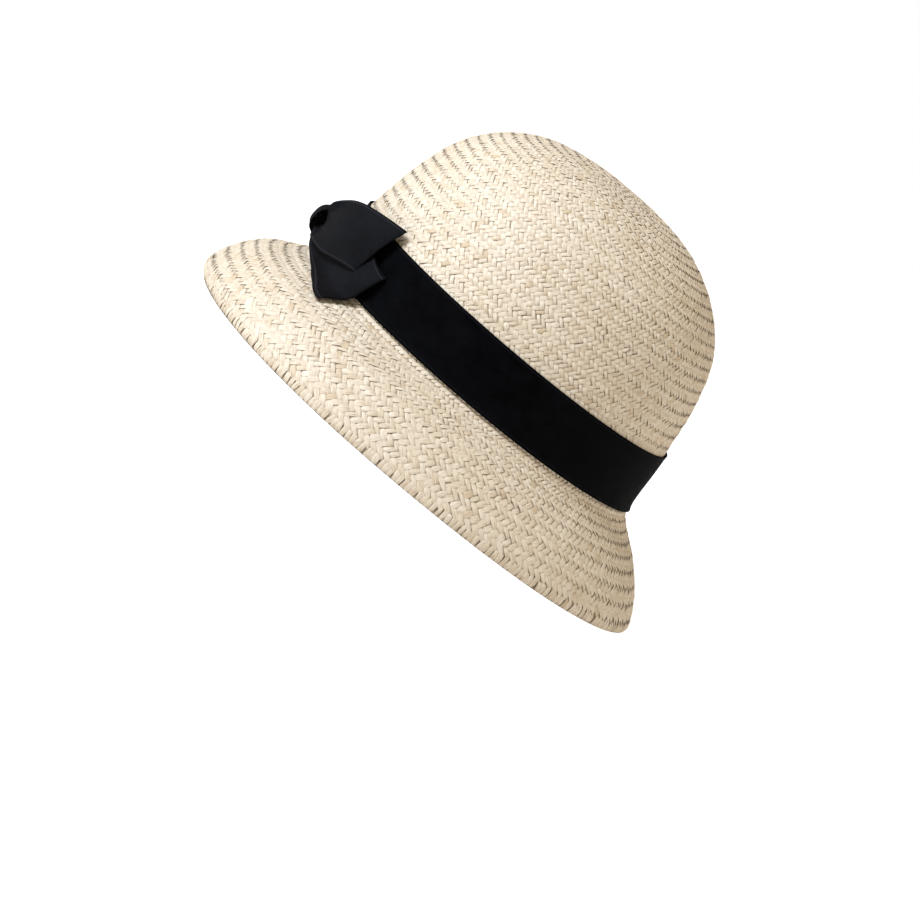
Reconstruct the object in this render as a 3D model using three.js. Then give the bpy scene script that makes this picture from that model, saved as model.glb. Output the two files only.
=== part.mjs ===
// A woven straw cloche hat with a ribbon band and a ribbon bow of three loops and a knot.
// Lengths are in millimetres. +Z points up through the crown, the front of the hat faces -Y
// and the wearer's left is +X. The hat stands on its brim edge in the plane z = 0, and the
// origin is the middle of that edge.
import * as THREE from 'three';
import { mergeVertices } from 'three/addons/utils/BufferGeometryUtils.js';

// Driving dimensions of the straw
const BRIM_LENGTH = 280;
const BRIM_WIDTH = 244;
const FOOT_LENGTH = 202;
const FOOT_WIDTH = 175;
const BRIM_HEIGHT = 45.5;
const CROWN_HEIGHT = 122.5;
const STRAW_WALL = 2;
const EDGE_FULLNESS = 2.17;
const OVAL_FULLNESS = 2;

// Driving dimensions of the ribbon
const RIBBON_WIDTH = 33;
const RIBBON_THICKNESS = 1;
const BAND_LIFT = 0.6;
const CLEARANCE = 0.3;

// Driving dimensions of the bow
const UPPER_LOOP_REACH = 56;
const LOWER_LOOP_REACH = 64;
const RIGHT_LOOP_REACH = 50;
const BOW_DEPTH = 18;
const KNOT_DEPTH = 16.4;
const KNOT_WIDTH = 12;
const KNOT_HEIGHT = 13;
const KNOT_RISE = 11.5;
const KNOT_FULLNESS = 3.2;
const LOOP_START = 0.6;

// Fineness of the faces
const HAT_STEPS_AROUND = 48;
const HAT_STEPS_PER_ROW = 2;
const RIBBON_STEPS_ACROSS = 6;
const RIBBON_STEPS_PER_ROW = 3;
const KNOT_STEPS_AROUND = 24;
const KNOT_STEPS_ACROSS = 4;

const STRAW = new THREE.MeshStandardMaterial({ color: 0xe3d2b4, roughness: 0.8, metalness: 0 });
const RIBBON = new THREE.MeshStandardMaterial({ color: 0x17171c, roughness: 0.7, metalness: 0 });

// Sections of the brim, from its edge up to the foot of the crown.
// rise: share of BRIM_HEIGHT. reach: share of the overhang from the foot to the edge.
// shift: how far the section sits to the back, a share of BRIM_LENGTH.
const BRIM_SECTIONS = [
  { rise: 0.0, reach: 1.0, shift: 0.0 },
  { rise: 0.1, reach: 1.0, shift: -0.006 },
  { rise: 0.35, reach: 0.853, shift: -0.011 },
  { rise: 0.64, reach: 0.557, shift: -0.016 },
  { rise: 0.85, reach: 0.2, shift: -0.01 },
  { rise: 1.0, reach: 0.0, shift: 0.0 },
];

// Sections of the crown, from just above its foot up to its tip.
// rise: share of CROWN_HEIGHT. taper: share of the foot's oval. shift: as for the brim.
const CROWN_SECTIONS = [
  { rise: 0.263, taper: 0.963, shift: 0.0 },
  { rise: 0.521, taper: 0.911, shift: 0.0 },
  { rise: 0.705, taper: 0.828, shift: -0.001 },
  { rise: 0.845, taper: 0.683, shift: -0.005 },
  { rise: 0.944, taper: 0.481, shift: -0.008 },
  { rise: 0.988, taper: 0.257, shift: -0.006 },
  { rise: 1.0, taper: 0.0, shift: -0.004 },
];

// Sections across each loop's ribbon: over the outside from the knot to the end fold, then
// back underneath to the knot. lowAround and highAround: where the lower and the upper edge
// lie round the hat, shares of the loop's reach. low and high: the two edges' heights above
// the crown foot, shares of RIBBON_WIDTH. lowOut, midOut and highOut: how far the lower edge,
// the middle and the upper edge stand off the straw, shares of BOW_DEPTH.
const UPPER_LOOP = [
  { lowAround: 0.0, highAround: 0.0, low: 0.25, high: 0.45, lowOut: 0.68, midOut: 0.5, highOut: 0.7 },
  { lowAround: 0.12, highAround: 0.12, low: 0.25, high: 0.45, lowOut: 0.68, midOut: 0.5, highOut: 0.7 },
  { lowAround: 0.18, highAround: 0.17, low: 0.14, high: 0.72, lowOut: 0.71, midOut: 0.62, highOut: 0.98 },
  { lowAround: 0.29, highAround: 0.29, low: 0.13, high: 0.94, lowOut: 0.65, midOut: 0.7, highOut: 0.74 },
  { lowAround: 0.45, highAround: 0.45, low: 0.12, high: 1.05, lowOut: 0.53, midOut: 0.65, highOut: 0.57 },
  { lowAround: 0.67, highAround: 0.7, low: 0.2, high: 1.17, lowOut: 0.47, midOut: 0.57, highOut: 0.38 },
  { lowAround: 0.89, highAround: 0.965, low: 0.28, high: 1.24, lowOut: 0.47, midOut: 0.48, highOut: 0.32 },
  { lowAround: 0.925, highAround: 1.0, low: 0.28, high: 1.24, lowOut: 0.42, midOut: 0.42, highOut: 0.265 },
  { lowAround: 0.89, highAround: 0.965, low: 0.28, high: 1.24, lowOut: 0.37, midOut: 0.36, highOut: 0.21 },
  { lowAround: 0.55, highAround: 0.58, low: 0.17, high: 1.05, lowOut: 0.41, midOut: 0.43, highOut: 0.23 },
  { lowAround: 0.19, highAround: 0.19, low: 0.15, high: 0.7, lowOut: 0.6, midOut: 0.52, highOut: 0.5 },
  { lowAround: 0.12, highAround: 0.12, low: 0.25, high: 0.45, lowOut: 0.38, midOut: 0.38, highOut: 0.38 },
  { lowAround: 0.0, highAround: 0.0, low: 0.25, high: 0.45, lowOut: 0.38, midOut: 0.38, highOut: 0.38 },
];

const LOWER_LOOP = [
  { lowAround: 0.0, highAround: 0.0, low: 0.25, high: 0.45, lowOut: 0.3, midOut: 0.3, highOut: 0.3 },
  { lowAround: 0.105, highAround: 0.105, low: 0.25, high: 0.45, lowOut: 0.3, midOut: 0.3, highOut: 0.3 },
  { lowAround: 0.16, highAround: 0.16, low: 0.09, high: 0.5, lowOut: 0.48, midOut: 0.35, highOut: 0.29 },
  { lowAround: 0.25, highAround: 0.25, low: 0.0, high: 0.56, lowOut: 0.55, midOut: 0.37, highOut: 0.28 },
  { lowAround: 0.5, highAround: 0.5, low: -0.13, high: 0.66, lowOut: 0.24, midOut: 0.26, highOut: 0.24 },
  { lowAround: 0.78, highAround: 0.82, low: -0.24, high: 0.67, lowOut: 0.25, midOut: 0.32, highOut: 0.25 },
  { lowAround: 0.92, highAround: 0.985, low: -0.28, high: 0.55, lowOut: 0.24, midOut: 0.48, highOut: 0.24 },
  { lowAround: 0.945, highAround: 1.02, low: -0.29, high: 0.54, lowOut: 0.185, midOut: 0.425, highOut: 0.185 },
  { lowAround: 0.92, highAround: 0.985, low: -0.28, high: 0.55, lowOut: 0.13, midOut: 0.37, highOut: 0.13 },
  { lowAround: 0.45, highAround: 0.5, low: -0.1, high: 0.62, lowOut: 0.145, midOut: 0.155, highOut: 0.145 },
  { lowAround: 0.105, highAround: 0.105, low: 0.25, high: 0.45, lowOut: 0.22, midOut: 0.22, highOut: 0.22 },
  { lowAround: 0.0, highAround: 0.0, low: 0.25, high: 0.45, lowOut: 0.22, midOut: 0.22, highOut: 0.22 },
];

const RIGHT_LOOP = [
  { lowAround: 0.0, highAround: 0.0, low: 0.25, high: 0.45, lowOut: 0.6, midOut: 0.5, highOut: 0.6 },
  { lowAround: 0.14, highAround: 0.14, low: 0.25, high: 0.45, lowOut: 0.6, midOut: 0.5, highOut: 0.6 },
  { lowAround: 0.23, highAround: 0.23, low: 0.08, high: 0.62, lowOut: 0.52, midOut: 0.5, highOut: 0.54 },
  { lowAround: 0.5, highAround: 0.5, low: -0.05, high: 0.8, lowOut: 0.32, midOut: 0.42, highOut: 0.32 },
  { lowAround: 0.93, highAround: 0.965, low: -0.08, high: 0.86, lowOut: 0.25, midOut: 0.27, highOut: 0.25 },
  { lowAround: 0.965, highAround: 1.0, low: -0.08, high: 0.86, lowOut: 0.195, midOut: 0.21, highOut: 0.195 },
  { lowAround: 0.93, highAround: 0.965, low: -0.08, high: 0.86, lowOut: 0.14, midOut: 0.15, highOut: 0.14 },
  { lowAround: 0.5, highAround: 0.5, low: -0.03, high: 0.78, lowOut: 0.14, midOut: 0.15, highOut: 0.14 },
  { lowAround: 0.14, highAround: 0.14, low: 0.25, high: 0.45, lowOut: 0.22, midOut: 0.22, highOut: 0.22 },
  { lowAround: 0.0, highAround: 0.0, low: 0.25, high: 0.45, lowOut: 0.22, midOut: 0.22, highOut: 0.22 },
];

// The hat's outer surface, one oval section for each table row.
function hatSections() {
  const brim = BRIM_SECTIONS.map(({ rise, reach, shift }) => ({
    height: rise * BRIM_HEIGHT,
    halfLength: THREE.MathUtils.lerp(FOOT_LENGTH, BRIM_LENGTH, reach) / 2,
    halfWidth: THREE.MathUtils.lerp(FOOT_WIDTH, BRIM_WIDTH, reach) / 2,
    shift: shift * BRIM_LENGTH,
    fullness: THREE.MathUtils.lerp(OVAL_FULLNESS, EDGE_FULLNESS, reach),
  }));
  const crown = CROWN_SECTIONS.map(({ rise, taper, shift }) => ({
    height: BRIM_HEIGHT + rise * CROWN_HEIGHT,
    halfLength: (taper * FOOT_LENGTH) / 2,
    halfWidth: (taper * FOOT_WIDTH) / 2,
    shift: shift * BRIM_LENGTH,
    fullness: OVAL_FULLNESS,
  }));
  const sections = [...brim, ...crown];
  const front = Math.min(...sections.map((row) => row.shift - row.halfLength));
  const back = Math.max(...sections.map((row) => row.shift + row.halfLength));
  return sections.map((row) => ({ ...row, shift: row.shift - (front + back) / 2 }));
}

const SECTIONS = hatSections();
const OVALS = new THREE.CatmullRomCurve3(
  SECTIONS.map((row) => new THREE.Vector3(row.halfWidth, row.halfLength, row.height)),
);
const TRIMS = new THREE.CatmullRomCurve3(
  SECTIONS.map((row) => new THREE.Vector3(row.shift, row.fullness, 0)),
);

// The oval at a share of the way from the brim edge (0) to the tip of the crown (1).
function ovalAt(share) {
  const oval = OVALS.getPoint(share);
  const trim = TRIMS.getPoint(share);
  return { halfWidth: oval.x, halfLength: oval.y, height: oval.z, shift: trim.x, fullness: trim.y };
}

// A signed power, for ovals fuller than an ellipse.
function fullPower(value, fullness) {
  return Math.sign(value) * Math.abs(value) ** (2 / fullness);
}

// The point at an angle on an oval, 0 at the front and a quarter turn at the wearer's left.
function ovalPoint(oval, angle) {
  const across = oval.halfWidth * fullPower(Math.sin(angle), oval.fullness);
  const along = oval.halfLength * fullPower(Math.cos(angle), oval.fullness);
  return new THREE.Vector3(across, oval.shift - along, oval.height);
}

// The hat's outward direction at a share and an angle.
function hatNormal(share, angle) {
  const step = 1e-3;
  const lower = ovalPoint(ovalAt(Math.max(share - step, 0)), angle);
  const upper = ovalPoint(ovalAt(Math.min(share + step, 1 - 1e-6)), angle);
  const oval = ovalAt(Math.min(share, 1 - 1e-3));
  const before = ovalPoint(oval, angle - step);
  const after = ovalPoint(oval, angle + step);
  return after.sub(before).cross(upper.sub(lower)).normalize();
}

// The angle at a distance round the crown foot, measured from the front.
function angleAround(distance) {
  const step = 0.005;
  let angle = 0;
  let length = 0;
  while (length < Math.abs(distance)) {
    const across = (FOOT_WIDTH / 2) * Math.cos(angle + step / 2);
    const along = (FOOT_LENGTH / 2) * Math.sin(angle + step / 2);
    const stride = Math.hypot(across, along) * step;
    const left = Math.abs(distance) - length;
    angle += left < stride ? (step * left) / stride : step;
    length += stride;
  }
  return Math.sign(distance) * angle;
}

// A list of shares that splits each stretch between two table rows into equal steps.
function stepShares(rowCount, stepsPerRow) {
  const count = (rowCount - 1) * stepsPerRow;
  return Array.from({ length: count + 1 }, (_, step) => step / count);
}

// The straw's own rings, whose flat faces the band and the bow keep clear of.
const STRAW_OVALS = stepShares(SECTIONS.length, HAT_STEPS_PER_ROW).map(ovalAt);

// The oval on the straw's flat faces at a height, between the two rings round it.
function facetOval(height) {
  const upper = STRAW_OVALS.findIndex((oval) => oval.height > height);
  const above = STRAW_OVALS[upper];
  const below = STRAW_OVALS[upper - 1];
  const mix = (height - below.height) / (above.height - below.height);
  return {
    height,
    halfWidth: THREE.MathUtils.lerp(below.halfWidth, above.halfWidth, mix),
    halfLength: THREE.MathUtils.lerp(below.halfLength, above.halfLength, mix),
    shift: THREE.MathUtils.lerp(below.shift, above.shift, mix),
    fullness: THREE.MathUtils.lerp(below.fullness, above.fullness, mix),
  };
}

// The level direction that points straight off an oval at an angle.
function levelOut(oval, angle) {
  const across = Math.sin(angle) / oval.halfWidth;
  const along = -Math.cos(angle) / oval.halfLength;
  return new THREE.Vector3(across, along, 0).normalize();
}

// A point off the hat: around from the front, up from the crown foot, out from the straw.
function standoff(around, up, out) {
  const angle = angleAround(around);
  const oval = facetOval(BRIM_HEIGHT + up);
  return ovalPoint(oval, angle).addScaledVector(levelOut(oval, angle), out);
}

// The faces of a grid of points, each split into two triangles, flat ones left out.
function gridFaces(grid, flipped) {
  const corners = [];
  const add = (a, b, c) => {
    const area = b.clone().sub(a).cross(c.clone().sub(a)).length();
    if (area > 1e-7) corners.push(...(flipped ? [a, c, b] : [a, b, c]));
  };
  for (let row = 0; row < grid.length - 1; row += 1) {
    for (let column = 0; column < grid[row].length - 1; column += 1) {
      const a = grid[row][column];
      const b = grid[row][column + 1];
      const c = grid[row + 1][column + 1];
      const d = grid[row + 1][column];
      add(a, b, c);
      add(a, c, d);
    }
  }
  return corners;
}

// A closed solid from triangles whose corners coincide where they meet.
function solidFrom(corners) {
  const geometry = new THREE.BufferGeometry().setFromPoints(corners);
  const merged = mergeVertices(geometry, 1e-5);
  merged.computeVertexNormals();
  return merged;
}

// A wall between an outer and an inner grid, with a strip round its open rims.
function wallBetween(outer, inner, { closedRows, closedTip }) {
  const corners = [...gridFaces(outer, false), ...gridFaces(inner, true)];
  corners.push(...gridFaces([inner[0], outer[0]], false));
  if (!closedTip) corners.push(...gridFaces([outer.at(-1), inner.at(-1)], false));
  if (!closedRows) {
    const edge = (grid, column) => grid.map((row) => row.at(column));
    corners.push(...gridFaces([edge(outer, 0), edge(inner, 0)], false));
    corners.push(...gridFaces([edge(inner, -1), edge(outer, -1)], false));
  }
  return solidFrom(corners);
}

function namedMesh(name, geometry, material) {
  const mesh = new THREE.Mesh(geometry, material);
  mesh.name = name;
  return mesh;
}

// The angles of one ring, whose last point is its first.
function ringAngles() {
  return Array.from({ length: HAT_STEPS_AROUND + 1 }, (_, step) => (
    step === HAT_STEPS_AROUND ? 0 : (2 * Math.PI * step) / HAT_STEPS_AROUND
  ));
}

// Crown and brim in one woven wall, open below, with a flat edge at z = 0.
function strawBody() {
  const outer = [];
  const inner = [];
  stepShares(SECTIONS.length, HAT_STEPS_PER_ROW).forEach((share) => {
    const oval = ovalAt(share);
    const atTip = share === 1;
    outer.push(ringAngles().map((angle) => ovalPoint(oval, atTip ? 0 : angle)));
    inner.push(ringAngles().map((angle) => {
      const point = ovalPoint(oval, atTip ? 0 : angle);
      if (atTip) return point.setZ(point.z - STRAW_WALL);
      const normal = hatNormal(share, angle);
      if (share === 0) normal.setZ(0).normalize();
      return point.addScaledVector(normal, -STRAW_WALL);
    }));
  });
  return wallBetween(outer, inner, { closedRows: true, closedTip: true });
}

// The ribbon band: a sleeve round the foot of the crown, clear of the straw.
function hatBand() {
  const bottom = BRIM_HEIGHT + BAND_LIFT;
  const top = bottom + RIBBON_WIDTH;
  const between = STRAW_OVALS.map((oval) => oval.height)
    .filter((height) => height > bottom && height < top);
  const rings = (offset) => [bottom, ...between, top].map((height) => {
    const oval = facetOval(height);
    return ringAngles().map((angle) => (
      ovalPoint(oval, angle).addScaledVector(levelOut(oval, angle), offset)
    ));
  });
  const outer = rings(CLEARANCE + RIBBON_THICKNESS);
  const inner = rings(CLEARANCE);
  return wallBetween(outer, inner, { closedRows: true, closedTip: false });
}

// The middle surface of a ribbon, thickened to both sides into a closed strip.
function thickened(grid, closedRows) {
  const at = (row, column) => grid[row][column];
  const lastRow = grid.length - 1;
  const lastColumn = grid[0].length - 1;
  const normalAt = (row, column) => {
    const before = closedRows && row === 0 ? lastRow - 1 : Math.max(row - 1, 0);
    const after = closedRows && row === lastRow ? 1 : Math.min(row + 1, lastRow);
    const along = at(after, column).clone().sub(at(before, column));
    const left = at(row, Math.max(column - 1, 0));
    const right = at(row, Math.min(column + 1, lastColumn));
    return right.clone().sub(left).cross(along).normalize();
  };
  const side = (offset) => grid.map((points, row) => points.map((point, column) => (
    point.clone().addScaledVector(normalAt(row, column), offset)
  )));
  return { outer: side(RIBBON_THICKNESS / 2), inner: side(-RIBBON_THICKNESS / 2) };
}

// One loop of the bow from its table, on the wearer's left (side 1) or right (side -1).
function bowLoop(table, reach, side) {
  const edgeCurve = (aroundKey, upKey, outKey) => new THREE.CatmullRomCurve3(
    table.map((row) => new THREE.Vector3(row[aroundKey], row[upKey], row[outKey])),
  );
  const low = edgeCurve('lowAround', 'low', 'lowOut');
  const high = edgeCurve('highAround', 'high', 'highOut');
  const middle = new THREE.CatmullRomCurve3(table.map((row) => new THREE.Vector3(
    (row.lowAround + row.highAround) / 2,
    (row.low + row.high) / 2,
    row.midOut,
  )));
  const place = ({ x, y, z }) => standoff(
    side * (LOOP_START + x * (reach - LOOP_START)),
    y * RIBBON_WIDTH,
    z * BOW_DEPTH,
  );
  const grid = stepShares(table.length, RIBBON_STEPS_PER_ROW).map((share) => {
    const across = new THREE.QuadraticBezierCurve3();
    across.v0.copy(low.getPoint(share));
    across.v2.copy(high.getPoint(share));
    const through = middle.getPoint(share).multiplyScalar(2);
    across.v1.copy(through).addScaledVector(across.v0, -0.5).addScaledVector(across.v2, -0.5);
    return across.getPoints(RIBBON_STEPS_ACROSS).map(place);
  });
  if (side < 0) grid.forEach((row) => row.reverse());
  const { outer, inner } = thickened(grid, false);
  return wallBetween(outer, inner, { closedRows: false, closedTip: false });
}

// The knot: a short sleeve of gathered ribbon round the inner ends of the loops.
function bowKnot() {
  const halfHeight = (KNOT_HEIGHT - RIBBON_THICKNESS) / 2;
  const nearest = 2 * CLEARANCE + 1.5 * RIBBON_THICKNESS;
  const halfDepth = (KNOT_DEPTH - RIBBON_THICKNESS / 2 - nearest) / 2;
  const grid = Array.from({ length: KNOT_STEPS_AROUND + 1 }, (_, step) => {
    const angle = (2 * Math.PI * (step % KNOT_STEPS_AROUND)) / KNOT_STEPS_AROUND;
    const up = KNOT_RISE + halfHeight * fullPower(Math.cos(angle), KNOT_FULLNESS);
    const out = nearest + halfDepth * (1 - fullPower(Math.sin(angle), KNOT_FULLNESS));
    return Array.from({ length: KNOT_STEPS_ACROSS + 1 }, (__, column) => (
      standoff(KNOT_WIDTH * (column / KNOT_STEPS_ACROSS - 0.5), up, out)
    ));
  });
  const { outer, inner } = thickened(grid, true);
  const rings = (side) => Array.from({ length: KNOT_STEPS_ACROSS + 1 }, (_, column) => (
    side.map((row) => row[KNOT_STEPS_ACROSS - column])
  ));
  return wallBetween(rings(outer), rings(inner), { closedRows: true, closedTip: false });
}

const hat = new THREE.Group();
hat.add(namedMesh('straw_body', strawBody(), STRAW));
hat.add(namedMesh('hat_band', hatBand(), RIBBON));
hat.add(namedMesh('bow_upper_loop', bowLoop(UPPER_LOOP, UPPER_LOOP_REACH, 1), RIBBON));
hat.add(namedMesh('bow_lower_loop', bowLoop(LOWER_LOOP, LOWER_LOOP_REACH, 1), RIBBON));
hat.add(namedMesh('bow_right_loop', bowLoop(RIGHT_LOOP, RIGHT_LOOP_REACH, -1), RIBBON));
hat.add(namedMesh('bow_knot', bowKnot(), RIBBON));

export default hat;
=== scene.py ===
"""A woven palm straw cloche hat with a ribbon band and a folded ribbon bow.

The hat stands on its brim edge. Its woven wall is built from single straw floats over a thin
ground, and the ribbon pieces are thin folded strips with woven edges.
"""

from __future__ import annotations

import logging
import math
from collections.abc import Sequence
from dataclasses import dataclass, field
from enum import Enum

import bmesh
import bpy
import numpy as np
from mathutils import Matrix, Vector


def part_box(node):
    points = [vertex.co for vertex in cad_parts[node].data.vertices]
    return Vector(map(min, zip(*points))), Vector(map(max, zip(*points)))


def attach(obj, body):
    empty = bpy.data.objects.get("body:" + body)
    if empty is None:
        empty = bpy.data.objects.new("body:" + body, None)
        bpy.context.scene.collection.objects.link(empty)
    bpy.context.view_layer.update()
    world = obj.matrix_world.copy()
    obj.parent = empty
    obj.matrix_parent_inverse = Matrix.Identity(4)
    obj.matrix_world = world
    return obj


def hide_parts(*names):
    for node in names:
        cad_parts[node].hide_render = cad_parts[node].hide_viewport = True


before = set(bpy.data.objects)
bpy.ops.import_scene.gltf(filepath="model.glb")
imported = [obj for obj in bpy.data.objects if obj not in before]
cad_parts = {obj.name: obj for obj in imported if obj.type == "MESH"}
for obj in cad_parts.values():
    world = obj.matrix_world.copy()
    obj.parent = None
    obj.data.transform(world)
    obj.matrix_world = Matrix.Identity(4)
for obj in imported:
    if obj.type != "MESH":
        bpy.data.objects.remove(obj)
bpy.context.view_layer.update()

LOG = logging.getLogger("cloche")
MM = 0.001
TURN = 2 * math.pi
TOUCHING = 1e-4
SHORTEST = 1e-12


class Side(Enum):
    """Which side of the knot a loop of the bow lies on."""

    LEFT = 1
    RIGHT = -1


class Face(Enum):
    """Which face of the straw wall a layer of weave covers."""

    OUTSIDE = 1
    INSIDE = -1


@dataclass(frozen=True)
class BrimSection:
    """An oval of the brim, by shares of the brim's sizes.

    Args:
        rise: Height, a share of the crown foot's height.
        reach: Share of the overhang from the crown foot to the brim edge.
        shift: How far it sits to the back, a share of the brim's length.
    """

    rise: float
    reach: float
    shift: float


@dataclass(frozen=True)
class CrownSection:
    """An oval of the crown, by shares of the crown's sizes.

    Args:
        rise: Height above the crown foot, a share of the crown's height.
        taper: Share of the crown foot's oval.
        shift: How far it sits to the back, a share of the brim's length.
    """

    rise: float
    taper: float
    shift: float


@dataclass(frozen=True)
class RibbonSection:
    """A section across a loop's ribbon, in shares of the loop's reach, ribbon and depth.

    Args:
        low_around: Where the lower edge lies round the hat.
        high_around: Where the upper edge lies round the hat.
        low: Height of the lower edge above the crown foot.
        high: Height of the upper edge above the crown foot.
        low_out: How far the lower edge stands off the straw.
        mid_out: How far the middle stands off the straw.
        high_out: How far the upper edge stands off the straw.
    """

    low_around: float
    high_around: float
    low: float
    high: float
    low_out: float
    mid_out: float
    high_out: float


BRIM_SECTIONS = (
    BrimSection(0.0, 1.0, 0.0),
    BrimSection(0.1, 1.0, -0.006),
    BrimSection(0.35, 0.853, -0.011),
    BrimSection(0.64, 0.557, -0.016),
    BrimSection(0.85, 0.2, -0.01),
    BrimSection(1.0, 0.0, 0.0),
)

CROWN_SECTIONS = (
    CrownSection(0.263, 0.963, 0.0),
    CrownSection(0.521, 0.911, 0.0),
    CrownSection(0.705, 0.828, -0.001),
    CrownSection(0.845, 0.683, -0.005),
    CrownSection(0.944, 0.481, -0.008),
    CrownSection(0.988, 0.257, -0.006),
    CrownSection(1.0, 0.0, -0.004),
)

UPPER_LOOP = (
    RibbonSection(0.0, 0.0, 0.24, 0.46, 0.76, 0.6, 0.62),
    RibbonSection(0.12, 0.12, 0.22, 0.5, 0.78, 0.62, 0.72),
    RibbonSection(0.18, 0.17, 0.13, 0.72, 0.74, 0.68, 0.93),
    RibbonSection(0.29, 0.29, 0.11, 0.95, 0.66, 0.74, 0.74),
    RibbonSection(0.45, 0.45, 0.11, 1.07, 0.54, 0.7, 0.66),
    RibbonSection(0.67, 0.7, 0.2, 1.17, 0.47, 0.6, 0.46),
    RibbonSection(0.89, 0.965, 0.28, 1.24, 0.47, 0.48, 0.34),
    RibbonSection(0.925, 1.0, 0.28, 1.24, 0.42, 0.42, 0.28),
    RibbonSection(0.89, 0.965, 0.28, 1.24, 0.37, 0.36, 0.22),
    RibbonSection(0.55, 0.58, 0.17, 1.05, 0.41, 0.43, 0.25),
    RibbonSection(0.19, 0.19, 0.17, 0.66, 0.56, 0.5, 0.5),
    RibbonSection(0.12, 0.12, 0.26, 0.44, 0.44, 0.4, 0.42),
    RibbonSection(0.0, 0.0, 0.26, 0.44, 0.4, 0.4, 0.4),
)

LOWER_LOOP = (
    RibbonSection(0.0, 0.0, 0.25, 0.45, 0.32, 0.3, 0.3),
    RibbonSection(0.09, 0.1, 0.13, 0.45, 0.66, 0.4, 0.3),
    RibbonSection(0.135, 0.14, 0.02, 0.5, 0.54, 0.42, 0.3),
    RibbonSection(0.19, 0.2, -0.03, 0.54, 0.43, 0.38, 0.29),
    RibbonSection(0.3, 0.32, -0.088, 0.6, 0.29, 0.33, 0.27),
    RibbonSection(0.5, 0.52, -0.145, 0.66, 0.19, 0.28, 0.25),
    RibbonSection(0.72, 0.76, -0.21, 0.68, 0.24, 0.36, 0.27),
    RibbonSection(0.85, 0.9, -0.26, 0.6, 0.31, 0.48, 0.28),
    RibbonSection(0.915, 0.985, -0.28, 0.55, 0.32, 0.43, 0.25),
    RibbonSection(0.945, 1.02, -0.285, 0.54, 0.27, 0.35, 0.18),
    RibbonSection(0.915, 0.985, -0.28, 0.55, 0.2, 0.28, 0.125),
    RibbonSection(0.45, 0.5, -0.1, 0.62, 0.13, 0.155, 0.145),
    RibbonSection(0.105, 0.105, 0.25, 0.45, 0.22, 0.22, 0.22),
    RibbonSection(0.0, 0.0, 0.25, 0.45, 0.22, 0.22, 0.22),
)

RIGHT_LOOP = (
    RibbonSection(0.0, 0.0, 0.17, 0.54, 0.8, 0.87, 0.84),
    RibbonSection(0.13, 0.13, 0.17, 0.55, 0.8, 0.87, 0.84),
    RibbonSection(0.24, 0.24, 0.1, 0.62, 0.7, 0.8, 0.74),
    RibbonSection(0.5, 0.5, -0.08, 0.76, 0.38, 0.48, 0.38),
    RibbonSection(0.93, 0.965, -0.12, 0.78, 0.25, 0.27, 0.25),
    RibbonSection(0.965, 1.0, -0.12, 0.78, 0.195, 0.21, 0.195),
    RibbonSection(0.93, 0.965, -0.12, 0.78, 0.14, 0.15, 0.14),
    RibbonSection(0.5, 0.5, -0.03, 0.74, 0.14, 0.15, 0.14),
    RibbonSection(0.13, 0.13, 0.25, 0.45, 0.22, 0.22, 0.22),
    RibbonSection(0.0, 0.0, 0.25, 0.45, 0.22, 0.22, 0.22),
)


def smooth_through(rows: np.ndarray, shares: np.ndarray) -> np.ndarray:
    """Evaluate a centripetal curve that passes through each row.

    Args:
        rows: Control rows, one point of any number of values each.
        shares: Places along the curve, 0 at the first row and 1 at the last.

    Returns:
        One point for each share.
    """
    shares = np.atleast_1d(np.asarray(shares, dtype=float))
    first = 2 * rows[0] - rows[1]
    last = 2 * rows[-1] - rows[-2]
    padded = np.vstack([first, rows, last])
    place = np.clip(shares, 0, 1) * (len(rows) - 1)
    cell = np.minimum(place.astype(int), len(rows) - 2)
    mix = (place - cell)[:, None]
    p0, p1, p2, p3 = (padded[cell + offset] for offset in range(4))
    gaps = [np.linalg.norm(b - a, axis=1) ** 0.5 for a, b in ((p0, p1), (p1, p2), (p2, p3))]
    middle = np.where(gaps[1] < TOUCHING, 1.0, gaps[1])
    before = np.where(gaps[0] < TOUCHING, middle, gaps[0])[:, None]
    after = np.where(gaps[2] < TOUCHING, middle, gaps[2])[:, None]
    middle = middle[:, None]
    start = ((p1 - p0) / before - (p2 - p0) / (before + middle) + (p2 - p1) / middle) * middle
    end = ((p2 - p1) / middle - (p3 - p1) / (middle + after) + (p3 - p2) / after) * middle
    square = -3 * p1 + 3 * p2 - 2 * start - end
    cube = 2 * p1 - 2 * p2 + start + end
    return p1 + start * mix + square * mix**2 + cube * mix**3


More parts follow.
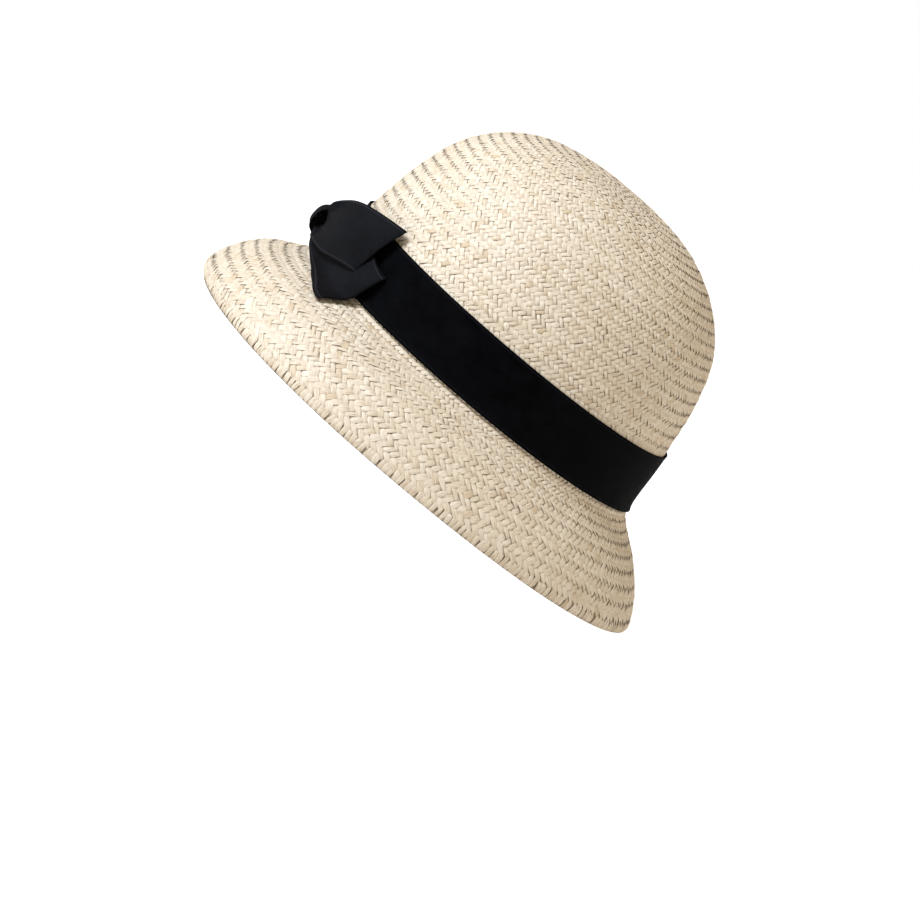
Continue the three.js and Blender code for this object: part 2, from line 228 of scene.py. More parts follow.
@dataclass
class HatForm:
    """The hat's outer surface, worked out from the frame's boxes and the section tables.

    Args:
        clearance: Gap between the straw and the ribbon's solid.
        ribbon_thickness: Thickness of the ribbon's solid.
        band_lift: Height of the band's lower edge over the crown foot.
        edge_fullness: Fullness of the brim edge's oval, where 2 is a plain oval.
        oval_fullness: Fullness of the crown's ovals.
        forward_swing: How far the ovals swing fore and aft in all, a share of the brim's length.
        height_samples: Samples up the hat for finding a height.
        angle_samples: Samples round the crown foot for finding an angle.
        step: Step in share or angle for finding directions.
        tip_gap: How far below the tip directions are taken.
    """

    clearance: float = 0.3 * MM
    ribbon_thickness: float = 1.0 * MM
    band_lift: float = 0.6 * MM
    edge_fullness: float = 2.17
    oval_fullness: float = 2.0
    forward_swing: float = 0.006
    height_samples: int = 1201
    angle_samples: int = 2001
    step: float = 1e-3
    tip_gap: float = 1e-4
    brim_length: float = field(init=False)
    brim_width: float = field(init=False)
    foot_length: float = field(init=False)
    foot_width: float = field(init=False)
    foot_height: float = field(init=False)
    crown_height: float = field(init=False)
    ribbon_width: float = field(init=False)
    ovals: np.ndarray = field(init=False)
    trims: np.ndarray = field(init=False)
    rises: np.ndarray = field(init=False)
    rise_shares: np.ndarray = field(init=False)

    def __post_init__(self) -> None:
        """Measure the frame's boxes and lay out the section rows."""
        straw_low, straw_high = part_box("straw_body")
        band_low, band_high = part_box("hat_band")
        proud = 2 * (self.clearance + self.ribbon_thickness)
        self.brim_length = (straw_high[1] - straw_low[1]) / (1 + self.forward_swing)
        self.brim_width = straw_high[0] - straw_low[0]
        self.foot_length = band_high[1] - band_low[1] - proud
        self.foot_width = band_high[0] - band_low[0] - proud
        self.foot_height = band_low[2] - self.band_lift
        self.crown_height = straw_high[2] - self.foot_height
        self.ribbon_width = band_high[2] - band_low[2]
        ovals = []
        trims = []
        for row in BRIM_SECTIONS:
            width = self.foot_width + (self.brim_width - self.foot_width) * row.reach
            length = self.foot_length + (self.brim_length - self.foot_length) * row.reach
            fullness = self.oval_fullness + (self.edge_fullness - self.oval_fullness) * row.reach
            ovals.append((width / 2, length / 2, row.rise * self.foot_height))
            trims.append((row.shift * self.brim_length / MM, fullness))
        for row in CROWN_SECTIONS:
            half_width = row.taper * self.foot_width / 2
            half_length = row.taper * self.foot_length / 2
            height = self.foot_height + row.rise * self.crown_height
            ovals.append((half_width, half_length, height))
            trims.append((row.shift * self.brim_length / MM, self.oval_fullness))
        self.ovals = np.array(ovals)
        self.trims = np.array(trims)
        front = np.min(self.trims[:, 0] - self.ovals[:, 1] / MM)
        back = np.max(self.trims[:, 0] + self.ovals[:, 1] / MM)
        self.trims[:, 0] -= (front + back) / 2
        self.rise_shares = np.linspace(0, 1, self.height_samples)
        self.rises = smooth_through(self.ovals, self.rise_shares)[:, 2]

    def point(self, shares: np.ndarray, angles: np.ndarray) -> np.ndarray:
        """Points on the outer surface.

        Args:
            shares: Places up the hat, 0 at the brim edge and 1 at the crown's tip.
            angles: Angles from the front towards the wearer's left, in radians.

        Returns:
            One point for each pair.
        """
        oval = smooth_through(self.ovals, shares)
        trim = smooth_through(self.trims, shares)
        return self.oval_point(oval, trim, angles)

    @staticmethod
    def oval_point(oval: np.ndarray, trim: np.ndarray, angles: np.ndarray) -> np.ndarray:
        """Points at angles on ovals of given half sizes, height, shift in mm and fullness."""
        power = 2 / trim[:, 1]
        sine, cosine = np.sin(angles), np.cos(angles)
        across = oval[:, 0] * np.sign(sine) * np.abs(sine) ** power
        along = oval[:, 1] * np.sign(cosine) * np.abs(cosine) ** power
        return np.stack([across, trim[:, 0] * MM - along, oval[:, 2]], axis=1)

    def basis(self, shares: np.ndarray, angles: np.ndarray) -> tuple[np.ndarray, ...]:
        """Points with the directions round the hat, up its wall and out of it.

        Args:
            shares: Places up the hat.
            angles: Angles from the front.

        Returns:
            Points, around, up and out, each one row for a pair.
        """
        points = self.point(shares, angles)
        low = self.point(np.maximum(shares - self.step, 0), angles)
        high = self.point(np.minimum(shares + self.step, 1 - self.tip_gap), angles)
        ahead = self.point(shares, angles + self.step)
        behind = self.point(shares, angles - self.step)
        up = unit(high - low)
        around = unit(ahead - behind)
        out = unit(np.cross(around, up))
        return points, around, up, out

    def share_at(self, heights: np.ndarray) -> np.ndarray:
        """Places up the hat at which its outside reaches given heights."""
        return np.interp(heights, self.rises, self.rise_shares)

    def angle_around(self, distances: np.ndarray) -> np.ndarray:
        """Angles at distances round the crown foot from the front."""
        angles = np.linspace(0, math.pi, self.angle_samples)
        middle = (angles[1:] + angles[:-1]) / 2
        across = self.foot_width / 2 * np.cos(middle)
        along = self.foot_length / 2 * np.sin(middle)
        lengths = np.concatenate([[0], np.cumsum(np.hypot(across, along) * np.diff(angles))])
        return np.sign(distances) * np.interp(np.abs(distances), lengths, angles)

    def standoff(self, around: np.ndarray, up: np.ndarray, out: np.ndarray) -> np.ndarray:
        """Points off the hat.

        Args:
            around: Distance round the crown foot from the front.
            up: Height above the crown foot.
            out: Level distance out from the straw.

        Returns:
            One point for each triple.
        """
        angles = self.angle_around(around)
        shares = self.share_at(self.foot_height + up)
        oval = smooth_through(self.ovals, shares)
        trim = smooth_through(self.trims, shares)
        points = self.oval_point(oval, trim, angles)
        level = np.stack(
            [np.sin(angles) / oval[:, 0], -np.cos(angles) / oval[:, 1], np.zeros(len(angles))],
            axis=1,
        )
        return points + unit(level) * np.asarray(out)[:, None]


def unit(vectors: np.ndarray) -> np.ndarray:
    """Rows scaled to length 1."""
    lengths = np.linalg.norm(vectors, axis=-1, keepdims=True)
    return vectors / np.maximum(lengths, SHORTEST)


def mesh_object(name: str, points: np.ndarray, faces: Sequence[Sequence[int]]) -> bpy.types.Object:
    """Make a smooth-shaded mesh object at the origin.

    Args:
        name: The piece's name.
        points: One row for each vertex.
        faces: Vertex numbers of each face.

    Returns:
        The new object, in the scene.
    """
    mesh = bpy.data.meshes.new(name)
    mesh.from_pydata([tuple(p) for p in points], [], [tuple(f) for f in faces])
    mesh.polygons.foreach_set("use_smooth", [True] * len(mesh.polygons))
    mesh.update()
    made = bpy.data.objects.new(name, mesh)
    bpy.context.scene.collection.objects.link(made)
    return made


def grid_faces(rows: int, columns: int, start: int, flipped: bool) -> list[tuple[int, ...]]:
    """Quads between neighbouring rows of a grid of vertices.

    Args:
        rows: Number of rows.
        columns: Number of columns.
        start: Number of the first vertex.
        flipped: True to face the other way.

    Returns:
        The quads.
    """
    faces = []
    for row in range(rows - 1):
        for column in range(columns - 1):
            a = start + row * columns + column
            quad = (a, a + 1, a + columns + 1, a + columns)
            faces.append(quad[::-1] if flipped else quad)
    return faces


def walled_mesh(
    name: str,
    outer: np.ndarray,
    inner: np.ndarray,
    uvs: np.ndarray,
    wraps: bool,
    capped: bool = False,
) -> bpy.types.Object:
    """A closed wall between two grids of points.

    Args:
        name: The piece's name.
        outer: Outer grid, rows by columns by 3.
        inner: Inner grid of the same size.
        uvs: Place of each grid point on the unrolled cloth, in metres, rows by columns by 2.
        wraps: True where the last column is the first again.
        capped: True where the last row is one point.

    Returns:
        The new object, with its UV map.
    """
    rows, columns = outer.shape[:2]
    count = rows * columns
    points = np.concatenate([outer.reshape(-1, 3), inner.reshape(-1, 3)])
    faces = grid_faces(rows, columns, 0, False) + grid_faces(rows, columns, count, True)
    index = np.arange(count).reshape(rows, columns)
    rims = [(index[0], False)]
    if not capped:
        rims.append((index[-1], True))
    if not wraps:
        rims += [(index[:, 0], True), (index[:, -1], False)]
    for rim, flipped in rims:
        for a, b in zip(rim[:-1], rim[1:]):
            quad = (int(a), int(a + count), int(b + count), int(b))
            faces.append(quad[::-1] if flipped else quad)
    made = mesh_object(name, points, faces)
    flat_uv = np.concatenate([uvs.reshape(-1, 2)] * 2)
    layer = made.data.uv_layers.new(name="UVMap")
    loops = np.empty(len(made.data.loops), dtype=int)
    made.data.loops.foreach_get("vertex_index", loops)
    layer.data.foreach_set("uv", flat_uv[loops].ravel())
    weld(made)
    return made


def weld(made: bpy.types.Object, distance: float = 1e-6) -> None:
    """Merge a mesh's doubled vertices and drop faces that close up.

    Args:
        made: The object.
        distance: Vertices nearer than this are one.
    """
    work = bmesh.new()
    work.from_mesh(made.data)
    bmesh.ops.remove_doubles(work, verts=work.verts, dist=distance)
    bmesh.ops.dissolve_degenerate(work, edges=work.edges, dist=distance)
    bmesh.ops.recalc_face_normals(work, faces=work.faces)
    work.to_mesh(made.data)
    work.free()


class Nodes:
    """Short calls that add and join the nodes of one tree."""

    def __init__(self, tree: bpy.types.NodeTree) -> None:
        """Keep the tree."""
        self.tree = tree

    def add(
        self,
        kind: str,
        feeds: dict[str | int, object] | None = None,
        **settings: object,
    ) -> bpy.types.Node:
        """Add a node.

        Args:
            kind: The node's class name.
            feeds: Values or sockets for its inputs, by name or number.
            **settings: Properties to set on it.

        Returns:
            The node.
        """
        node = self.tree.nodes.new(kind)
        for key, value in settings.items():
            setattr(node, key, value)
        for place, value in (feeds or {}).items():
            self.feed(value, node.inputs[place])
        return node

    def feed(self, value: object, socket: bpy.types.NodeSocket) -> None:
        """Give a socket a value or a link."""
        if isinstance(value, bpy.types.NodeSocket):
            self.tree.links.new(value, socket)
        else:
            socket.default_value = value

    def sockets(self, way: str, kind: str, values: dict[str, float | None]) -> None:
        """Add some of the tree's own sockets.

        Args:
            way: INPUT or OUTPUT.
            kind: The sockets' class name.
            values: What each starts with, by name.
        """
        for name, value in values.items():
            socket = self.tree.interface.new_socket(name, in_out=way, socket_type=kind)
            if value is not None:
                socket.default_value = value

    def math(self, operation: str, *values: object) -> bpy.types.NodeSocket:
        """The result of a Math node on numbers or sockets."""
        node = self.add("ShaderNodeMath", dict(enumerate(values)), operation=operation)
        return node.outputs[0]

    def on_cloth(self) -> tuple[bpy.types.NodeSocket, bpy.types.NodeSocket]:
        """The place on the piece's own UV map, along it and across it."""
        where = self.add("ShaderNodeUVMap", uv_map="UVMap")
        parts = self.add("ShaderNodeSeparateXYZ", {0: where.outputs["UV"]})
        return parts.outputs[0], parts.outputs[1]

    def stored(self, name: str) -> bpy.types.NodeSocket:
        """A direction or size that is stored on each point."""
        kind = "GeometryNodeInputNamedAttribute"
        return self.add(kind, {"Name": name}, data_type="FLOAT_VECTOR").outputs["Attribute"]

    def noise(self, scale: float, detail: float, roughness: float = 0.5) -> bpy.types.NodeSocket:
        """Noise over the piece's own space.

        Args:
            scale: Lumps for each metre.
            detail: Octaves added.
            roughness: Strength of the finer octaves.

        Returns:
            Its value.
        """
        spot = self.add("ShaderNodeTexCoord")
        feeds = {
            "Vector": spot.outputs["Object"],
            "Scale": scale,
            "Detail": detail,
            "Roughness": roughness,
        }
        return self.add("ShaderNodeTexNoise", feeds).outputs["Fac"]

    def ramp(self, fac: bpy.types.NodeSocket, stops: Sequence[tuple]) -> bpy.types.NodeSocket:
        """A colour ramp.

        Args:
            fac: The value it reads.
            stops: Pairs of place and linear RGB colour.

        Returns:
            Its colour.
        """
        node = self.add("ShaderNodeValToRGB", {"Fac": fac})
        elements = node.color_ramp.elements
        while len(elements) < len(stops):
            elements.new(0.5)
        for element, (place, colour) in zip(elements, stops):
            element.position = place
            element.color = (*colour, 1.0)
        return node.outputs["Color"]

    def mixed(
        self,
        fac: object,
        first: object,
        second: object,
        blend: str = "MIX",
    ) -> bpy.types.NodeSocket:
        """A mix of two colours.

        Args:
            fac: Share of the second colour.
            first: First colour or socket.
            second: Second colour or socket.
            blend: Blend mode.

        Returns:
            Its colour.
        """
        colours = [
            value if isinstance(value, bpy.types.NodeSocket) else (*value, 1.0)
            for value in (first, second)
        ]
        feeds = {0: fac, 6: colours[0], 7: colours[1]}
        node = self.add("ShaderNodeMix", feeds, data_type="RGBA", blend_type=blend)
        return node.outputs[2]

    def bump(
        self,
        shader: bpy.types.Node,
        height: bpy.types.NodeSocket,
        strength: float,
        depth: float,
    ) -> None:
        """Give a shader's surface fine relief.

        Args:
            shader: The shader.
            height: The relief's height.
            strength: How strongly it shows.
            depth: Depth in metres.
        """
        feeds = {"Strength": strength, "Distance": depth, "Height": height}
        relief = self.add("ShaderNodeBump", feeds)
        self.feed(relief.outputs["Normal"], shader.inputs["Normal"])


def new_material(name: str) -> tuple[bpy.types.Material, Nodes, bpy.types.Node]:
    """Start a material.

    Args:
        name: Its name.

    Returns:
        The material, the calls for its tree and its shader.
    """
    material = bpy.data.materials.new(name)
    material.use_nodes = True
    return material, Nodes(material.node_tree), material.node_tree.nodes["Principled BSDF"]


def grain_group() -> bpy.types.NodeTree:
    """Shader group: the long fine grain of a split palm strand, on its own UV map.

    Returns:
        The group, with inputs Tone, Length and Fineness, and outputs Streak and Blotch.
    """
    nodes = Nodes(bpy.data.node_groups.new("palm_grain", "ShaderNodeTree"))
    nodes.sockets("INPUT", "NodeSocketFloat", {"Tone": 0.5, "Length": 1.8, "Fineness": 6.5})
    nodes.sockets("OUTPUT", "NodeSocketFloat", dict.fromkeys(("Streak", "Blotch")))
    given = nodes.add("NodeGroupInput").outputs
    along, across = nodes.on_cloth()
    strands_apart = 57.0
    feeds = {
        0: nodes.math("MULTIPLY", along, given["Length"]),
        1: nodes.math("MULTIPLY", across, given["Fineness"]),
        2: nodes.math("MULTIPLY", given["Tone"], strands_apart),
    }
    place = nodes.add("ShaderNodeCombineXYZ", feeds)
    feeds = {"Vector": place.outputs[0], "Scale": 1.0, "Detail": 2.0}
    streak = nodes.add("ShaderNodeTexNoise", feeds)
    blotch = nodes.noise(scale=42.0, detail=3.0)
    nodes.add("NodeGroupOutput", {"Streak": streak.outputs["Fac"], "Blotch": blotch})
    return nodes.tree


def rib_group() -> bpy.types.NodeTree:
    """Shader group: fine cross ribs and plain woven edges of a ribbon, on its UV map.

    Returns:
        The group, with inputs Pitch, Width and Edge, and outputs Rib, Selvedge and Cloud, the
        random mask for patches of painted sheen.
    """
    nodes = Nodes(bpy.data.node_groups.new("ribbon_ribs", "ShaderNodeTree"))
    nodes.sockets("INPUT", "NodeSocketFloat", {"Pitch": 0.0004, "Width": 0.033, "Edge": 0.0012})
    nodes.sockets("OUTPUT", "NodeSocketFloat", dict.fromkeys(("Rib", "Selvedge", "Cloud")))
    given = nodes.add("NodeGroupInput").outputs
    along, across = nodes.on_cloth()
    turns = nodes.math("DIVIDE", along, given["Pitch"])
    wave = nodes.math("SINE", nodes.math("MULTIPLY", turns, TURN))
    rib = nodes.math("MULTIPLY_ADD", wave, 0.5, 0.5)
    below = nodes.math("ABSOLUTE", across)
    above = nodes.math("ABSOLUTE", nodes.math("SUBTRACT", given["Width"], across))
    line = nodes.math("SUBTRACT", nodes.math("MINIMUM", below, above), given["Edge"])
    line_width = 0.35 * MM
    narrow = nodes.math("DIVIDE", nodes.math("ABSOLUTE", line), line_width)
    selvedge = nodes.math("MAXIMUM", nodes.math("SUBTRACT", 1.0, narrow), 0.0)
    # Random mask of lighter patches that stand for sheen: painted sheen.
    cloud = nodes.noise(scale=75.0, detail=6.0, roughness=0.72)
    contrast = 3.0
    strong = nodes.math("MULTIPLY_ADD", cloud, contrast, (1 - contrast) / 2)
    bounded = nodes.math("MINIMUM", nodes.math("MAXIMUM", strong, 0.0), 1.0)
    nodes.add("NodeGroupOutput", {"Rib": rib, "Selvedge": selvedge, "Cloud": bounded})
    return nodes.tree


@dataclass(frozen=True)
class StrawFinish:
    """Natural palm straw: pale strands with fine long grain and a faint sheen.

    Args:
        name: The material's name.
        pale: Linear colour of the palest strands.
        warm: Linear colour of the darkest strands.
        middle_at: Tone at which a strand has the colour between them.
        blotching: Strength of the wide blotches.
        streaking: Strength of the grain's streaks.
        streaks: Places and colours of the grain, from its deepest line to clear straw.
        roughness: Middle roughness.
        polish: How far the grain changes the roughness.
        relief: Strength of the grain's relief.
        depth: Depth of the grain, in metres.
    """

    name: str = "palm_straw"
    pale: tuple[float, float, float] = (0.86, 0.75, 0.58)
    warm: tuple[float, float, float] = (0.61, 0.455, 0.27)
    middle_at: float = 0.35
    blotching: float = 0.55
    streaking: float = 0.8
    streaks: tuple[tuple[float, tuple[float, float, float]], ...] = (
        (0.34, (0.68, 0.61, 0.53)),
        (0.5, (0.93, 0.915, 0.89)),
        (0.64, (1.0, 1.0, 1.0)),
    )
    roughness: float = 0.58
    polish: float = 0.22
    relief: float = 0.6
    depth: float = 0.00012

    def build(self, grain: bpy.types.NodeTree) -> bpy.types.Material:
        """Make the material.

        Args:
            grain: The shared grain group.

        Returns:
            The material.
        """
        material, nodes, shader = new_material(self.name)
        tone = nodes.add("ShaderNodeAttribute", attribute_name="tone").outputs["Fac"]
        group = nodes.add("ShaderNodeGroup", node_tree=grain)
        nodes.feed(tone, group.inputs["Tone"])
        streak = group.outputs["Streak"]
        middle = tuple((a + b) / 2 for a, b in zip(self.pale, self.warm))
        stops = ((0.0, self.warm), (self.middle_at, middle), (1.0, self.pale))
        share = nodes.math("MULTIPLY", group.outputs["Blotch"], self.blotching)
        blotched = nodes.mixed(share, nodes.ramp(tone, stops), middle)
        streaks = nodes.ramp(streak, self.streaks)
        colour = nodes.mixed(self.streaking, blotched, streaks, "MULTIPLY")
        nodes.feed(colour, shader.inputs["Base Color"])
        roughest = self.roughness + self.polish / 2
        rough = nodes.math("MULTIPLY_ADD", streak, -self.polish, roughest)
        nodes.feed(rough, shader.inputs["Roughness"])
        nodes.bump(shader, streak, self.relief, self.depth)
        return material


@dataclass(frozen=True)
class GroundFinish:
    """The ground wall seen in the gaps of the weave: darker straw, with painted shade.

    Args:
        name: The material's name.
        deep: Linear colour in the gaps: darker straw with painted shade.
        lit: Lighter linear colour in random patches of the gaps, still darkened by painted shade.
        pitch: Distance between strands, in metres.
        roughness: Roughness all over.
        relief: Strength of the relief.
        depth: Depth of the relief, in metres.
    """

    name: str = "straw_ground"
    deep: tuple[float, float, float] = (0.22, 0.155, 0.09)
    lit: tuple[float, float, float] = (0.52, 0.41, 0.27)
    pitch: float = 0.0034
    roughness: float = 0.85
    relief: float = 0.8
    depth: float = 0.0005

    def build(self) -> bpy.types.Material:
        """Make the material."""
        material, nodes, shader = new_material(self.name)
        noise = nodes.noise(scale=1 / self.pitch, detail=3.0)
        # Dark colours of the ground in the gaps: darker straw, with painted shade between the
        # floats.
        colour = nodes.ramp(noise, ((0.35, self.deep), (0.65, self.lit)))
        nodes.feed(colour, shader.inputs["Base Color"])
        shader.inputs["Roughness"].default_value = self.roughness
        nodes.bump(shader, noise, self.relief, self.depth)
        return material


@dataclass(frozen=True)
class RibbonFinish:
    """Black ribbon with fine cross ribs, plain woven edges and a dull sheen, with random lighter
    patches of painted sheen in its colour.

    Args:
        name: The material's name.
        black: Linear colour of the ribbon.
        edge: Linear colour of the line inside each woven edge.
        lift: How many times lighter the cloudy patches of painted sheen are.
        clouding: Strength of the cloudy patches of painted sheen.
        roughness: Roughness between the patches.
        matting: Roughness that a patch adds.
        sheen: Strength of the soft sheen at a glancing view.
        sheen_roughness: Spread of that sheen.
        gloss: Strength of the reflection.
        selvedge_rise: Height of the edge line, where a rib is 1.
        relief: Strength of the ribs' relief.
        depth: Depth of the ribs, in metres.
    """

    name: str = "black_ribbon"
    black: tuple[float, float, float] = (0.0009, 0.0009, 0.0011)
    edge: tuple[float, float, float] = (0.024, 0.024, 0.028)
    lift: float = 9.0
    clouding: float = 0.7
    roughness: float = 0.5
    matting: float = 0.16
    sheen: float = 0.012
    sheen_roughness: float = 0.5
    gloss: float = 0.06
    selvedge_rise: float = 1.3
    relief: float = 0.55
    depth: float = 0.0001

    def build(self, ribs: bpy.types.NodeTree, width: float) -> bpy.types.Material:
        """Make the material.

        Args:
            ribs: The shared rib group.
            width: The ribbon's width.

        Returns:
            The material.
        """
        material, nodes, shader = new_material(self.name)
        group = nodes.add("ShaderNodeGroup", node_tree=ribs)
        group.inputs["Width"].default_value = width
        rib, selvedge, cloud = (group.outputs[name] for name in ("Rib", "Selvedge", "Cloud"))
        # Lighter cloudy patches at random places on the black: painted sheen.
        lifted = tuple(value * self.lift for value in self.black)
        clouded = nodes.mixed(nodes.math("MULTIPLY", cloud, self.clouding), self.black, lifted)
        colour = nodes.mixed(selvedge, clouded, self.edge)
        nodes.feed(colour, shader.inputs["Base Color"])
        rough = nodes.math("MULTIPLY_ADD", cloud, self.matting, self.roughness)
        nodes.feed(rough, shader.inputs["Roughness"])
        shader.inputs["Sheen Weight"].default_value = self.sheen
        shader.inputs["Sheen Roughness"].default_value = self.sheen_roughness
        shader.inputs["Specular IOR Level"].default_value = self.gloss
        height = nodes.math("MULTIPLY_ADD", selvedge, self.selvedge_rise, rib)
        nodes.bump(shader, height, self.relief, self.depth)
        return material


def float_tree(material: bpy.types.Material) -> bpy.types.NodeTree:
    """Geometry nodes: a domed straw float on each point, turned and sized by attributes.

    Args:
        material: The straw's finish.

    Returns:
        The tree, with inputs Steps Along, Steps Across, Dome, Tuck and Narrowing.
    """
    nodes = Nodes(bpy.data.node_groups.new("straw_floats", "GeometryNodeTree"))
    nodes.sockets("INPUT", "NodeSocketGeometry", {"Points": None})
    nodes.sockets("INPUT", "NodeSocketInt", {"Steps Along": 5, "Steps Across": 4})
    nodes.sockets("INPUT", "NodeSocketFloat", {"Dome": 0.38, "Tuck": 1.45, "Narrowing": 0.2})
    nodes.sockets("OUTPUT", "NodeSocketGeometry", {"Floats": None})
    given = nodes.add("NodeGroupInput").outputs
    feeds = {
        "Size X": 1.0,
        "Size Y": 1.0,
        "Vertices X": given["Steps Along"],
        "Vertices Y": given["Steps Across"],
    }
    grid = nodes.add("GeometryNodeMeshGrid", feeds)
    mapped = nodes.add(
        "GeometryNodeStoreNamedAttribute",
        {"Name": "UVMap", "Geometry": grid.outputs["Mesh"], "Value": grid.outputs["UV Map"]},
        data_type="FLOAT2",
        domain="CORNER",
    )
    place = nodes.add("GeometryNodeInputPosition")
    parts = nodes.add("ShaderNodeSeparateXYZ", {0: place.outputs[0]}).outputs
    along = nodes.math("MULTIPLY", nodes.math("ABSOLUTE", parts[0]), 2.0)
    across = nodes.math("MULTIPLY", nodes.math("ABSOLUTE", parts[1]), 2.0)
    dip = nodes.math("MULTIPLY", nodes.math("POWER", along, 3.0), given["Tuck"])
    fall = nodes.math("MULTIPLY", nodes.math("POWER", across, 3.0), given["Dome"])
    lift = nodes.math("SUBTRACT", nodes.math("SUBTRACT", 1.0, dip), fall)
    taper = nodes.math("MULTIPLY", nodes.math("POWER", along, 4.0), given["Narrowing"])
    narrow = nodes.math("SUBTRACT", 1.0, taper)
    feeds = {0: parts[0], 1: nodes.math("MULTIPLY", parts[1], narrow), 2: lift}
    shaped = nodes.add("ShaderNodeCombineXYZ", feeds)
    feeds = {"Geometry": mapped.outputs[0], "Position": shaped.outputs[0]}
    domed = nodes.add("GeometryNodeSetPosition", feeds)
    smooth = nodes.add("GeometryNodeSetShadeSmooth", {"Geometry": domed.outputs[0]})
    turned = nodes.add(
        "FunctionNodeAxesToRotation",
        {"Primary Axis": nodes.stored("face_out"), "Secondary Axis": nodes.stored("run")},
        primary_axis="Z",
        secondary_axis="X",
    )
    feeds = {
        "Points": given["Points"],
        "Instance": smooth.outputs[0],
        "Rotation": turned.outputs["Rotation"],
        "Scale": nodes.stored("float_size"),
    }
    laid = nodes.add("GeometryNodeInstanceOnPoints", feeds)
    real = nodes.add("GeometryNodeRealizeInstances", {"Geometry": laid.outputs["Instances"]})
    feeds = {"Geometry": real.outputs["Geometry"], "Material": material}
    dressed = nodes.add("GeometryNodeSetMaterial", feeds)
    nodes.add("NodeGroupOutput", {"Floats": dressed.outputs["Geometry"]})
    return nodes.tree


def rest_on_table(mesh: bpy.types.Mesh) -> None:
    """Press the parts of a mesh that lie under the table's level flat onto it."""
    places = np.empty(3 * len(mesh.vertices))
    mesh.vertices.foreach_get("co", places)
    places[2::3] = np.maximum(places[2::3], 0.0)
    mesh.vertices.foreach_set("co", places)
    mesh.update()


@dataclass
class FloatField:
    """Straw floats waiting to be laid, in one group of arrays for each row of the weave."""

    rows: list[tuple[np.ndarray, ...]] = field(default_factory=list)

    def lay(
        self,
        points: np.ndarray,
        outs: np.ndarray,
        runs: np.ndarray,
        sizes: np.ndarray,
        tones: np.ndarray,
    ) -> None:
        """Add a row of floats.

        Args:
            points: Middle of each.
            outs: Direction that each faces.
            runs: Direction that each runs in.
            sizes: Length, width and lift of each.
            tones: Tone of each, 0 to 1.
        """
        self.rows.append((points, outs, runs, sizes, tones))

    def weave(
        self,
        name: str,
        tree: bpy.types.NodeTree,
        steps: tuple[int, int],
    ) -> bpy.types.Object:
        """Turn the floats into one plain mesh.

        Args:
            name: The piece's name.
            tree: The float tree.
            steps: Points along and across each float.

        Returns:
            The finished object.
        """
        points, *stored = (np.concatenate(arrays) for arrays in zip(*self.rows))
        seeds = mesh_object(f"{name}_points", points, [])
        for title, values in zip(("face_out", "run", "float_size", "tone"), stored):
            is_tone = title == "tone"
            kind, key = ("FLOAT", "value") if is_tone else ("FLOAT_VECTOR", "vector")
            attribute = seeds.data.attributes.new(title, kind, "POINT")
            attribute.data.foreach_set(key, values.astype(np.float32).ravel())
        modifier = seeds.modifiers.new("floats", "NODES")
        modifier.node_group = tree
        for title, value in zip(("Steps Along", "Steps Across"), steps):
            socket = tree.interface.items_tree[title]
            modifier[socket.identifier] = value
        graph = bpy.context.evaluated_depsgraph_get()
        graph.update()
        plain = bpy.data.meshes.new_from_object(seeds.evaluated_get(graph), depsgraph=graph)
        plain.name = name
        made = bpy.data.objects.new(name, plain)
        bpy.context.scene.collection.objects.link(made)
        old = seeds.data
        bpy.data.objects.remove(seeds)
        bpy.data.meshes.remove(old)
        for title in ("face_out", "run", "float_size"):
            attribute = made.data.attributes.get(title)
            if attribute is not None:
                made.data.attributes.remove(attribute)
        rest_on_table(made.data)
        return made


@dataclass(frozen=True)
class WeaveZone:
    """A run of weave rows that keep one number of floats round the hat.

    Args:
        top: Height at which the zone ends, a share of the hat's height.
        count: Floats round each row.
    """

    top: float
    count: int


@dataclass(frozen=True)
class StrandTones:
    """Tones of the strands: mostly pale, with a few darker ones.

    Args:
        middle: The usual tone, where 0 is warm and 1 is pale.
        drift: Slow change of tone round the hat.
        spread: Spread from strand to strand.
        dark_share: Share of dark strands.
        dark_top: Palest tone of a dark strand.
    """

    middle: float = 0.66
    drift: float = 0.06
    spread: float = 0.17
    dark_share: float = 0.035
    dark_top: float = 0.25

    def draw(self, random: np.random.Generator, number: int, angles: np.ndarray) -> np.ndarray:
        """Draw the tones of one row.

        Args:
            random: The seeded generator.
            number: The row's number.
            angles: The angle of each of its floats.

        Returns:
            Tones from 0 to 1.
        """
        count = len(angles)
        drift = self.drift * np.sin(5 * angles + 0.4 * number)
        tones = self.middle + drift + random.normal(0, self.spread, count)
        dark = random.random(count) < self.dark_share
        tones[dark] = random.uniform(0.0, self.dark_top, int(dark.sum()))
        return tones.clip(0, 1)


@dataclass(frozen=True)
class EdgeRow:
    """The slanting strands turned in along the brim edge.

    Args:
        pitch: Distance from strand to strand.
        height: Distance of their middles up the wall.
        length: Length of a strand.
        width: Width of a strand.
        bed: How far they lie over the ground wall.
        lift: Share of a float's lift.
        slant: How far they lean, for each unit up.
        spread: Spread of places, slants and widths.
        length_spread: Spread of lengths.
        lift_spread: Spread of lifts.
        tone: Middle tone.
        tone_spread: Spread of tones.
        seed: Added to the straw's seed.
    """

    pitch: float = 2.9 * MM
    height: float = 2.75 * MM
    length: float = 5.3 * MM
    width: float = 2.75 * MM
    bed: float = 0.15 * MM
    lift: float = 1.25
    slant: float = 0.42
    spread: float = 0.12
    length_spread: float = 0.05
    lift_spread: float = 0.15
    tone: float = 0.62
    tone_spread: float = 0.18
    seed: int = 40


def oval_lengths(halves: np.ndarray, others: np.ndarray) -> np.ndarray:
    """Lengths round ovals.

    Args:
        halves: Half the width of each.
        others: Half the length of each.

    Returns:
        One length for each.
    """
    total = halves + others
    spread = ((halves - others) / np.maximum(total, SHORTEST)) ** 2
    return math.pi * total * (1 + 3 * spread / (10 + np.sqrt(4 - 3 * spread)))


